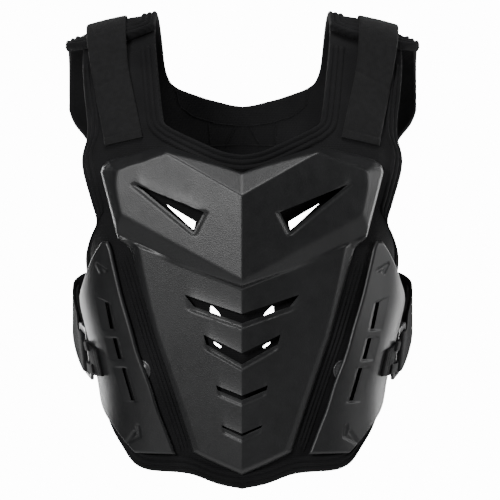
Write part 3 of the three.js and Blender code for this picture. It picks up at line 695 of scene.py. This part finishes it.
def plate_height(x, z):
    """How far the plate stands forward: the raised facets and the lower ones, each kept under its bevels.

    A facet is a plane in x and z. Bevels rise from the rim, those of the raised part over a steep low
    wall, and a smooth least joins them. The two parts meet in a smooth greatest. Above each slot the
    face swells into a brow, and below it a narrow ledge is let in.
    """
    rim = WALL + RIM_CLEARANCE - front_depth(x, z)
    top, side = away(x, z, PLATE_TOP), away(x, z, PLATE_SIDE[:4])
    low, foot = away(x, z, PLATE_SIDE[3:]), away(x, z, PLATE_FOOT)
    above = z - PARTING_Z - PARTING_RISE * x
    beside = rim + np.minimum(SIDE_WALL * side, SIDE_HEIGHT + SIDE_SLOPE * side)
    below_top = rim + np.minimum(TOP_WALL * top, TOP_HEIGHT + np.interp(x, *TOP_SLOPES) * top)
    raised = smooth_least(facet(MAIN_FACET, x, z), facet(UPPER_FACET, x, z), 1.0)
    raised = smooth_least(raised, below_top, 1.6)
    raised = smooth_least(raised, beside, 1.0)
    lower = facet(LOWER_FACET, x, z)
    raised = smooth_least(raised, facet(CHEEK_FACET, x, z), 1.0)
    raised = smooth_least(raised, lower + PARTING_SLOPE * above, 1.4)
    lower = lower - 2 * np.maximum(0, above - 3)
    lower = smooth_least(lower, rim + LOWER_BEVEL * low, 1.2)
    lower = smooth_least(lower, rim + FOOT_BEVEL * foot, 1.2)
    lower = smooth_least(lower, beside, 2.0)
    height = -smooth_least(-raised, -lower, 2.0)
    border = np.minimum(np.minimum(top, side), np.minimum(low, foot))
    height = np.maximum(height, rim) - 1.5 * (1 - np.clip(border / RIM_ROUND, 0, 1)) ** 2
    for row in CHEVRONS:
        upper, under = chevron_lines(row, x)
        inside = 1 - ease((x - 0.78 * row[0]) / (0.24 * row[0]))
        size = min(1.0, row[0] / SLOT_SIZE)
        over = z - (upper + under) / 2
        height += BROW * size * inside * np.exp(-np.maximum(over, 0) / BROW_FADE) * ease((over + 1.5) / 3)
        ledge = under - z
        height -= LEDGE * size * inside * ease((ledge + 2) / 2) * (1 - ease((ledge - LEDGE_WIDTH) / 1.8))
    brow = away(x, z, PLATE_VENT[:2])
    over = z - np.interp(x, (40, 113), (-200, -170))
    span = ease((x - 34) / 12) * (1 - ease((x - 106) / 12))
    height += VENT_BROW * span * np.exp(-brow / 6) * ease((over + 3) / 3)
    ledge = away(x, z, [PLATE_VENT[0], PLATE_VENT[2], PLATE_VENT[1]])
    height -= VENT_LEDGE * (1 - ease((ledge - 2.6) / 1.8)) * (1 - ease((over + 1) / 3))
    return height


def grain_group():
    """Moulded leather grain: small Voronoi cells with soft edges, varied by a finer noise."""
    group, source, result = node_group(
        "leather_grain", [("Vector", "NodeSocketVector", None), ("Scale", "NodeSocketFloat", 700.0)],
        [("Height", "NodeSocketFloat")])
    cells = add_node(group, "TexVoronoi", {name: source.outputs[name] for name in ("Vector", "Scale")},
                     feature="DISTANCE_TO_EDGE")
    soft = ramp(group, cells.outputs["Distance"], 0.0, 0.35, 0.0, 1.0)
    fine = noise(group, source.outputs["Vector"], 1500, 2)
    group.links.new(weighted(group, (soft, 1), (fine, 0.5)), result.inputs["Height"])
    return group


GRAIN = grain_group()


def shell_material(name, colour, roughness):
    """Black moulded plastic: leather grain in relief, a faint dusty haze and lightly rubbed patches."""
    made, tree, shader, places = new_material(name, roughness, specular=0.5)
    grain = use_group(tree, GRAIN, Vector=places.outputs["Object"], Scale=620.0)
    haze = ramp(tree, noise(tree, places.outputs["Object"], 11, 4), 0.35, 0.7, 0.0, 1.0)
    fine = ramp(tree, noise(tree, places.outputs["Object"], 90, 3), 0.3, 0.7, 0.0, 1.0)
    lint = use_group(tree, LINT, Vector=places.outputs["Object"], Amount=0.35)
    light = weighted(tree, (haze, 0.35), (fine, 0.15), (lint.outputs["Mask"], 1))
    tree.links.new(tint(tree, light, colour, tuple(2.0 * c for c in colour)), shader.inputs["Base Color"])
    worn = weighted(tree, (haze, 0.05), (fine, 0.04))
    tree.links.new(math(tree, "ADD", worn, roughness - 0.04), shader.inputs["Roughness"])
    tree.links.new(bump(tree, grain.outputs["Height"], 0.0002, 0.3), shader.inputs["Normal"])
    return made


shell = shell_material("grained_shell", (0.0075, 0.0077, 0.0082), 0.41)
PLATE_ROWS, PLATE_COLS = 231, 76
SHELL_SHARP = 55
half_top = way_along(PLATE_TOP, PLATE_COLS)
half_foot = way_along(PLATE_FOOT, PLATE_COLS)
side_line = way_along(PLATE_SIDE, PLATE_ROWS)
middle_line = np.stack([np.zeros(PLATE_ROWS), np.linspace(-158, -479, PLATE_ROWS)], axis=-1)
patch = coons(half_top, half_foot, middle_line, side_line)
x, z = patch[..., 0], patch[..., 1]
height = plate_height(np.abs(x), z)
half = np.stack([x, -height, z], axis=-1)
left = (half * (-1, 1, 1))[:, :0:-1]
outside = np.concatenate([left, half], axis=1)
inside = outside + np.array([0, WALL, 0])
chest_plate = shell_piece("chest_plate_shell", outside, inside, shell, outside[..., [0, 2]], SHELL_SHARP)
slots = []
for wide, end, middle, low_wide, low_end, low_middle in CHEVRONS:
    slots.append([(-wide, end), (0, middle), (wide, end), (low_wide, low_end), (0, low_middle),
                  (-low_wide, low_end)])
cut_through(chest_plate, both_sides([PLATE_VENT]) + slots, -175, -60)
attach(chest_plate, "root")
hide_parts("chest_plate")

# Side shields
# Two curved moulded shells over the ribs, leaf-shaped, standing off the pad. Each has three slots along
# its inner border and two small embossed marks, and it is held by a rivet and by its webbing tab.
SHIELD_ROWS = np.array([
    # z, inner u, outer u, inner lift, outer lift
    (-458, 72, 117, 8.3, 8), (-435, 81, 142, 8.3, 7.8), (-410, 91, 171, 8.3, 7.2),
    (-384, 99, 180, 8.3, 7.8), (-350, 112, 186, 8.3, 11), (-323, 120, 192, 8.3, 14),
    (-292, 130, 197, 8.3, 16), (-270, 136, 184, 8.3, 13.5), (-250, 141, 171, 8.3, 11.5),
    (-238, 144, 162, 8.3, 10), (-230, 148, 155, 8.3, 9)])
SHIELD_SLOTS = [
    # upper end x and z, lower end x and z, width
    (146.3, -296.5, 140.3, -325, 4.2), (137.5, -335, 131.5, -357.5, 4.2), (127.5, -367, 117, -402, 4.2)]
SHIELD_MARKS = [
    # run of corners in front view, depth
    ([(153, -264), (157.5, -255.5), (147, -262)], 1.1),
    ([(116, -436), (123.5, -447), (110.5, -440), (112, -429)], 1.3)]
# Recess at each slot: reach outward and inward, depth, run of its ends; slant of the top one's end
RECESS_OUT, RECESS_IN, RECESS_DEPTH, RECESS_END = 12, 5, 1.9, 1.6
TOP_SLANT = 0.5
SIDES = (("right", 1), ("left", -1))


def shield_face(t, z, drop):
    """A place on the shield: t from its inner to its outer border at a height, drop into its wall."""
    in_u, out_u, in_lift, out_lift = (smooth_column(SHIELD_ROWS, z, k) for k in (1, 2, 3, 4))
    lift = in_lift + (out_lift - in_lift) * ease(t)
    return lifted(front_face, 1, in_u + (out_u - in_u) * t, z, lift - drop)


def shield_relief(points, t, z):
    """Depth let into the shield: rounded borders, a recess that falls to each slot, and the marks.

    Each recess is a wedge, wider outward of its slot than inward, with steep ends.
    """
    in_u, out_u = smooth_column(SHIELD_ROWS, z, 1), smooth_column(SHIELD_ROWS, z, 2)
    border = np.minimum(t, 1 - t) * (out_u - in_u)
    ends = np.minimum(z - SHIELD_ROWS[0, 0], SHIELD_ROWS[-1, 0] - z)
    gap = np.minimum(border, ends)
    relief = 2.0 * (1 - np.clip(gap / 3.0, 0, 1)) ** 2
    px, pz = points[..., 0], points[..., 2]
    for ax, az, bx, bz, _ in SHIELD_SLOTS:
        out = px - ax - (bx - ax) * (pz - az) / (bz - az)
        fall = 1 - np.clip(np.where(out > 0, out / RECESS_OUT, -out / RECESS_IN), 0, 1)
        slant = TOP_SLANT if az == SHIELD_SLOTS[0][1] else 0.0
        top_end = ease((az + 1.5 + slant * out - pz) / RECESS_END)
        relief += RECESS_DEPTH * fall * top_end * ease((pz - bz + 2.5) / RECESS_END)
    for corners, deep in SHIELD_MARKS:
        relief += deep * (1 - ease((away(px, pz, corners) - 0.8) / 2.2))
    return relief


SHIELD_GRID = (240, 84)
t = np.linspace(0, 1, SHIELD_GRID[1])[None, :] * np.ones((SHIELD_GRID[0], 1))
z = np.linspace(SHIELD_ROWS[0, 0], SHIELD_ROWS[-1, 0], SHIELD_GRID[0])[:, None] * np.ones((1, SHIELD_GRID[1]))
relief = shield_relief(shield_face(t, z, 0), t, z)
outside, inside = shield_face(t, z, relief), shield_face(t, z, WALL)
for side, sign in SIDES:
    turn = np.array([sign, 1, 1])
    shield = shell_piece(f"side_shield_shell_{side}", outside * turn, inside * turn, shell,
                         outside[..., [0, 2]], SHELL_SHARP)
    cuts = [[(ax - wide / 2, az), (bx - wide / 2, bz), (bx + wide / 2, bz), (ax + wide / 2, az)]
            for ax, az, bx, bz, wide in SHIELD_SLOTS]
    if sign < 0:
        cuts = [[(-a, b) for a, b in line][::-1] for line in cuts]
    cut_through(shield, cuts, -150, -30)
    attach(shield, "root")
    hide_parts(f"side_shield_{side}")

# Shoulder straps
# Two wide bands of soft loop webbing, sewn to the back pad, laid over the shoulder parts and pressed
# onto the front tabs with hook tape under their hemmed ends.
WEB = 2.4
SELVEDGE, SELVEDGE_DROP = 1.6, 0.9
END_ROUND, END_DROP = 1.5, 0.5
SHOULDER_BAND = 43.5
HEM_LENGTH, HEM_RISE = 8.5, 0.9
CREASE_AT, CREASE_DROP = 88, 1.1
SHOULDER_STATIONS = [
    # side, u, w, skew, lift, rise at the outer border
    ("back", 152, -62, 0, 1.6, 0), ("back", 152, -30, 0, 1.8, 0.5), ("back", 152, 0, 0, 2.2, 1.5),
    ("back", 152, 24, 0, 2.6, 2.8), ("back", 152, 48, 0, 2.8, 4), ("back", 152, 72, 0, 2.8, 4.5),
    ("back", 152, 96, 0.03, 3, 3.5), ("back", 151, 120, 0.06, 3.4, 1.5), ("front", 149, -42, 0.14, 3.2, 0),
    ("front", 144, -66, 0.2, 1.8, 0), ("front", 138, -92, 0.2, 1.5, 0), ("front", 130.5, -124, 0.2, 1.5, 0)]


def curve_through(rows, count):
    """Catmull-Rom curve through a list of rows of points, sampled evenly by the mean chord length."""
    rows = np.array(rows, float)
    chord = np.linalg.norm(np.diff(rows, axis=0), axis=-1).reshape(len(rows) - 1, -1).mean(axis=1)
    run = np.concatenate([[0], np.cumsum(chord)])
    slope = np.gradient(rows, run, axis=0)
    at = np.linspace(0, run[-1], count)
    i = np.clip(np.searchsorted(run, at, side="right") - 1, 0, len(run) - 2)
    grow = (slice(None),) + (None,) * (rows.ndim - 1)
    h = (run[i + 1] - run[i])[grow]
    return hermite(rows, slope, i, h, (at - run[i])[grow] / h), at


def band_relief(across, along, width, length):
    """How far a band's face sinks: rounded selvedges and rounded ends, in millimetres."""
    side = np.minimum(across, width - across)
    end = np.minimum(along, length - along)
    return (SELVEDGE_DROP * (1 - np.clip(side / SELVEDGE, 0, 1)) ** 2
            + END_DROP * (1 - np.clip(end / END_ROUND, 0, 1)) ** 2)


def band_piece(name, outer, inner, run, width, sign, material, swell=None):
    """A webbing band from its outer and inner face grids, mirrored by the sign of x."""
    across = np.linspace(0, width, outer.shape[1])[None, :] * np.ones((len(run), 1))
    along = run[:, None] * np.ones((1, outer.shape[1]))
    through = outer - inner
    through /= np.linalg.norm(through, axis=-1, keepdims=True)
    change = -band_relief(across, along, width, run[-1])
    if swell is not None:
        change = change + swell(across, along)
    face = outer + through * change[..., None]
    uv = np.stack([across, along], axis=-1)
    turn = np.array([sign, 1, 1])
    return shell_piece(name, face * turn, inner * turn, material, uv, 60)


def webbing_material(name, colour, thread, ribs):
    """Woven band: thread relief over the UV with painted shade in the grooves between threads, fine
    lengthwise cords, and lint caught in the nap.
    """
    made, tree, shader, places = new_material(name, 0.82, specular=0.2, sheen=0.05)
    shader.inputs["Sheen Roughness"].default_value = 0.4
    weave = use_group(tree, WEAVE, UV=places.outputs["UV"], Across=thread, Along=thread * 0.7, Slant=0.0)
    split = add_node(tree, "SeparateXYZ", {0: places.outputs["UV"]})
    cords = math(tree, "ABSOLUTE", math(tree, "SINE", math(tree, "MULTIPLY", split.outputs["X"], ribs)))
    nap = ramp(tree, noise(tree, places.outputs["Object"], 160, 4), 0.3, 0.75, 0.0, 1.0)
    lint = use_group(tree, LINT, Vector=places.outputs["Object"], Amount=0.5)
    # Colour factor: painted thread shade (darker in the grooves, lighter on the crowns), with the nap's
    # uneven tone and lint.
    light = weighted(tree, (weave.outputs["Painted_Thread_Shade"], 0.35), (nap, 0.45), (lint.outputs["Mask"], 1))
    tree.links.new(tint(tree, light, tuple(0.65 * c for c in colour), tuple(1.7 * c for c in colour)),
                   shader.inputs["Base Color"])
    cord_normal = bump(tree, cords, 0.0003, 0.5)
    nap_normal = bump(tree, nap, 0.0004, 0.6, cord_normal)
    tree.links.new(bump(tree, weave.outputs["Height"], 0.0002, 0.7, nap_normal), shader.inputs["Normal"])
    return made


loop_webbing = webbing_material("loop_webbing", (0.0095, 0.0095, 0.01), 900.0, 1500.0)


def strap_swell(across, along):
    """The strap's hemmed end, which stands proud, and a soft crease where the strap leaves the shoulder."""
    left = STRAP_LENGTH - along
    hem = HEM_RISE * (1 - ease((left - HEM_LENGTH) / 1.2)) - 0.5 * np.exp(-((left - 10.6) / 0.8) ** 2)
    crease = -CREASE_DROP * np.exp(-((left - CREASE_AT + 0.12 * across) / 3.0) ** 2)
    return hem + crease + 0.25 * np.sin(along / 9.0) * np.sin(across / 13.0)


stations = []
for kind, u, w, skew, lift, rise in SHOULDER_STATIONS:
    face, facing = (back_face, -1) if kind == "back" else (front_face, 1)
    k = np.linspace(0, 1, 33)
    off = (k - 0.5) * SHOULDER_BAND
    du, dw = off * np.cos(skew), -off * np.sin(skew)
    stations.append(np.stack([lifted(face, facing, u + du, w + dw, lift + rise * k + above)
                              for above in (WEB, 0)]))
rows, strap_run = curve_through(stations, 190)
STRAP_LENGTH = strap_run[-1]
for side, sign in SIDES:
    strap = band_piece(f"shoulder_band_{side}", rows[:, 0], rows[:, 1], strap_run, SHOULDER_BAND, sign,
                       loop_webbing, strap_swell)
    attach(strap, "root")
    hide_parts(f"shoulder_strap_{side}")

# Buckle frames
# Two rectangular frames of glossy moulded plastic at the wearer's sides, with rounded bars and a thicker
# top bar. Each is held between the loops of a shield's tab and the fold of the side strap.
FRAME_WIDTH, FRAME_HEIGHT, FRAME_BAR, FRAME_TOP, FRAME_THICK = 38, 60, 4.2, 8, 3.8
FRAME_FRONT = np.array([168.6, -24.5, -356.0])
FRAME_REAR = np.array([178.5, 10, -349.0])
FRAME_BACK = (FRAME_REAR - FRAME_FRONT) / np.linalg.norm(FRAME_REAR - FRAME_FRONT)
FRAME_OUT = np.cross(FRAME_BACK, (0, 0, 1))
FRAME_OUT /= np.linalg.norm(FRAME_OUT)
FRAME_UP = np.cross(FRAME_OUT, FRAME_BACK)
FRAME_LEAN = np.radians(8)
FRAME_UP, FRAME_OUT = (FRAME_UP * np.cos(FRAME_LEAN) + FRAME_OUT * np.sin(FRAME_LEAN),
                       FRAME_OUT * np.cos(FRAME_LEAN) - FRAME_UP * np.sin(FRAME_LEAN))
TOP_EXTRA = 2.6
GAP = 0.35


def rounded_loop(x0, y0, x1, y1, radius, steps=9):
    """Closed run of points round a rectangle with round corners."""
    points = []
    for cx, cy, start in ((x1 - radius, y1 - radius, 0), (x0 + radius, y1 - radius, 90),
                          (x0 + radius, y0 + radius, 180), (x1 - radius, y0 + radius, 270)):
        turn = np.radians(start + np.linspace(0, 90, steps))
        points.append(np.stack([cx + radius * np.cos(turn), cy + radius * np.sin(turn)], axis=-1))
    return np.concatenate(points)


def plastic_material(name, colour, roughness):
    """Glossy black moulded plastic with fine scuffs and a faint haze, under a thin clear skin."""
    made, tree, shader, places = new_material(name, roughness, specular=0.5, coat=0.25)
    shader.inputs["Coat Roughness"].default_value = 0.25
    scuff = ramp(tree, noise(tree, places.outputs["Object"], 240, 4, 0.7), 0.4, 0.7, 0.0, 1.0)
    haze = ramp(tree, noise(tree, places.outputs["Object"], 30, 3), 0.3, 0.7, 0.0, 1.0)
    light = weighted(tree, (scuff, 0.3), (haze, 0.4))
    tree.links.new(tint(tree, light, colour, tuple(2.2 * c for c in colour)), shader.inputs["Base Color"])
    tree.links.new(ramp(tree, scuff, 0, 1, roughness - 0.05, roughness + 0.1), shader.inputs["Roughness"])
    tree.links.new(bump(tree, scuff, 0.00008, 0.3), shader.inputs["Normal"])
    return made


gloss_plastic = plastic_material("gloss_plastic", (0.03, 0.03, 0.031), 0.3)
half_w, half_h = FRAME_WIDTH / 2, FRAME_HEIGHT / 2
outer_loop = rounded_loop(-half_w, -half_h, half_w, half_h, 4)
inner_loop = rounded_loop(-half_w + FRAME_BAR, -half_h + FRAME_BAR, half_w - FRAME_BAR,
                          half_h - FRAME_TOP, 1.5)
turn = np.linspace(0, 2 * np.pi, 24, endpoint=False)
ring_c = np.sign(np.cos(turn)) * np.abs(np.cos(turn)) ** 0.6
ring_s = np.sign(np.sin(turn)) * np.abs(np.sin(turn)) ** 0.6
middle_loop, half_bar = (outer_loop + inner_loop) / 2, (outer_loop - inner_loop) / 2
flat_ring = middle_loop[:, None] + half_bar[:, None] * ring_c[None, :, None]
frame_centre = (FRAME_FRONT + FRAME_REAR) / 2
thick = FRAME_THICK + TOP_EXTRA * ease((flat_ring[..., 1] - half_h + FRAME_TOP + 2) / 2)
frame_points = (frame_centre + flat_ring[..., :1] * FRAME_BACK + flat_ring[..., 1:] * FRAME_UP
                + (thick / 2 * ring_s)[..., None] * FRAME_OUT)
count, ring = flat_ring.shape[:2]
a, b = np.meshgrid(np.arange(count), np.arange(ring), indexing="ij")
after_a, after_b = (a + 1) % count, (b + 1) % ring
frame_faces = np.stack([a * ring + b, after_a * ring + b, after_a * ring + after_b, a * ring + after_b],
                       axis=-1).reshape(-1, 4)
for side, sign in SIDES:
    turned = frame_points * np.array([sign, 1, 1])
    buckle = make_piece(f"buckle_bars_{side}", turned, frame_faces, gloss_plastic, sharp=60)
    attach(buckle, "root")
    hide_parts(f"buckle_frame_{side}")

# Shield tabs
# A short band of elastic webbing sewn flat to the rear border of each shield by two rows of stitches,
# and two narrow loops under it that turn round the front bar of the buckle frame.
TAB_HEIGHT = 38
# The band's lower and upper borders at the frame, and the fall of the upper one toward its sewn end
TAB_FOOT, TAB_HEAD, HEAD_FALL = -376.5, -339, 32
FINGERS = (("upper", 12), ("lower", -13))
FINGER_HEIGHT = 10.5
STITCH_LENGTH, STITCH_DROP, STITCH_ROWS = 2.6, 0.45, (3, 9)
LOOP_TURN = FRAME_BAR / 2 + GAP + WEB / 2
LOOP_SQUASH = 0.95


def loop_rows(path, origin, half_height, count):
    """Rows of a band that follows a plan path of back and out, its two faces WEB apart, carried up."""
    path = np.array(path, float)
    ahead = np.concatenate([path[1:], path[-1:]]) - np.concatenate([path[:1], path[:-1]])
    ahead /= np.linalg.norm(ahead, axis=-1, keepdims=True)
    normal = np.stack([ahead[:, 1], -ahead[:, 0]], axis=-1)
    heights = np.linspace(-half_height, half_height, count)
    rows = []
    for p, n in zip(path, normal):
        pair = []
        for f in (0.5, -0.5):
            q = p + f * WEB * n
            pair.append(origin + q[0] * FRAME_BACK + q[1] * FRAME_OUT + heights[:, None] * FRAME_UP)
        rows.append(np.stack(pair))
    return rows


def loop_bend(first, last, step):
    """Plan path round a frame's bar, from one angle to another, in degrees from straight back."""
    turn = np.radians(np.arange(first, last, step))
    return [[LOOP_TURN * np.cos(a), LOOP_SQUASH * LOOP_TURN * np.sin(a)] for a in turn]


def laid_on_shield(t, heights, below):
    """A row of a band on the shield's face, its two faces WEB apart, the outer one below the face."""
    across = np.full(len(heights), t)
    return np.stack([shield_face(across, heights, inward - below) for inward in (0, WEB)])


band_webbing = webbing_material("band_webbing", (0.006, 0.006, 0.0065), 1100.0, 2400.0)
laid_rows = []
for t in (0.72, 0.79, 0.86, 0.93, 1.0):
    heights = np.linspace(TAB_FOOT, TAB_HEAD - HEAD_FALL * (1 - t), 21)
    laid_rows.append(laid_on_shield(t, heights, GAP + WEB + 0.3))
rows, run = curve_through(laid_rows, 50)
path = loop_bend(90, -91, -30) + [[-8, -LOOP_TURN * 0.8]]
front_bar = FRAME_FRONT + FRAME_BACK * FRAME_BAR / 2
fingers = []
for _, middle in FINGERS:
    heights = FRAME_FRONT[2] + middle + np.linspace(-0.5, 0.5, 9) * FINGER_HEIGHT
    hold = [laid_on_shield(t, heights, GAP + 2 * WEB + 0.4) for t in (0.9, 0.95, 1.0)]
    turned = loop_rows(path, front_bar + middle * FRAME_UP, FINGER_HEIGHT / 2, 9)
    fingers.append(curve_through(hold + turned, 60))


def tab_swell(across, along):
    """Two rows of stitches sunk across the tab near its sewn end, each stitch a short dimple."""
    stitch = np.abs(np.sin(np.pi * across / STITCH_LENGTH)) ** 0.5
    return -STITCH_DROP * stitch * sum(np.exp(-((along - row) / 0.6) ** 2) for row in STITCH_ROWS)


for side, sign in SIDES:
    tab = band_piece(f"tab_band_{side}", rows[:, 0], rows[:, 1], run, TAB_HEIGHT, sign, band_webbing,
                     tab_swell)
    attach(tab, "root")
    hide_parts(f"shield_tab_{side}")
    for (points, length), (place, _) in zip(fingers, FINGERS):
        finger = band_piece(f"tab_loop_{place}_{side}", points[:, 0], points[:, 1], length, FINGER_HEIGHT,
                            sign, loop_webbing)
        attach(finger, "root")

# Side straps
# Two elastic bands, each sewn flat to the back pad, brought forward round the body's side and folded
# round the rear bar of its buckle frame.
SIDE_BAND = 46
# Places of the band: u, w and lift on the back pad; then x, y, z and turn in plan, free and folded under
SIDE_STATIONS = [(178, -286, 22), (166, -284, 8.5), (152, -283, 1.6), (132, -282, 1.3), (112, -281, 1.3)]
SIDE_FREE = [(186.6, 24, -336, -16), (193.3, 47, -308, 2), (190.5, 70, -295, 30)]
SIDE_RETURN = [(189.4, 58, -303, 8), (189.6, 47, -309, 0), (184.8, 32, -325, -14), (179.6, 22, -339, -14)]
BIGHT = 9
BAND_DROP = 1.9
path = [[7, -2.9], [0, -LOOP_SQUASH * LOOP_TURN]]
path += [[back - BIGHT, out] for back, out in loop_bend(270, 89, -30)]
path.append([0, LOOP_SQUASH * LOOP_TURN])
rear_bar = FRAME_REAR - FRAME_BACK * FRAME_BAR / 2
heights = np.linspace(-0.5, 0.5, 25) * SIDE_BAND


def upright_rows(places, order):
    """Rows of an upright band through places of x, y, z and the turn of its normal in plan."""
    rows = []
    for px, py, pz, tilt in places:
        normal = np.array([np.cos(np.radians(tilt)), np.sin(np.radians(tilt)), 0])
        centre = np.array([px, py, pz]) + heights[:, None] * np.array([0, 0, 1])
        rows.append(np.stack([centre + f * WEB * normal for f in order]))
    return rows


side_rows = upright_rows(SIDE_RETURN, (0.5, -0.5))
side_rows += loop_rows(path, rear_bar - BAND_DROP * FRAME_UP, SIDE_BAND / 2, 25)
side_rows += upright_rows(SIDE_FREE, (-0.5, 0.5))
for u, w, lift in SIDE_STATIONS:
    side_rows.append(np.stack([lifted(back_face, -1, np.full(25, float(u)), w + heights, lift + above)
                               for above in (0, WEB)]))
rows, run = curve_through(side_rows, 150)
for side, sign in SIDES:
    band = band_piece(f"side_band_{side}", rows[:, 0], rows[:, 1], run, SIDE_BAND, sign, band_webbing)
    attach(band, "root")
    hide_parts(f"side_strap_{side}")

# Shield rivets
# Two domed plastic rivet heads with a stepped rim, pressed through the pad beside the plate. Each shows
# from under its shield's inner border.
RIVET_RADIUS, RIVET_HEIGHT = 11, 4.2
profile = np.array([(0, 0.6), (RIVET_RADIUS - 0.6, 0.6), (RIVET_RADIUS, 0.9), (RIVET_RADIUS, 1.3),
                    (RIVET_RADIUS - 0.3, 1.9), (RIVET_RADIUS - 1.4, 2.3), (RIVET_RADIUS - 2.2, 2.0),
                    (RIVET_RADIUS - 2.9, 2.4), (RIVET_RADIUS * 0.58, 3.3), (RIVET_RADIUS * 0.4, 3.9),
                    (RIVET_RADIUS * 0.2, 4.15), (0, RIVET_HEIGHT)])
seat, above = lifted(front_face, 1, *np.array([[111.0], [-369.0]]), np.array([0.0, 1.0]))
rise = above - seat
level = np.cross(rise, (0, 0, 1))
level /= np.linalg.norm(level)
upright = np.cross(level, rise)
turn = np.linspace(0, 2 * np.pi, 49)
spin = np.cos(turn)[None, :, None] * level + np.sin(turn)[None, :, None] * upright
dome = seat + profile[:, 0][:, None, None] * spin + profile[:, 1][:, None, None] * rise
for side, sign in SIDES:
    points = (dome * np.array([sign, 1, 1])).reshape(-1, 3)
    grid = np.arange(len(profile) * 49).reshape(len(profile), 49)
    faces = np.stack([grid[:-1, :-1], grid[1:, :-1], grid[1:, 1:], grid[:-1, 1:]], -1).reshape(-1, 4)
    rivet = make_piece(f"rivet_head_{side}", points, faces, gloss_plastic, sharp=50)
    face_outward(rivet.data, 1e-6)
    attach(rivet, "root")
    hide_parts(f"shield_rivet_{side}")
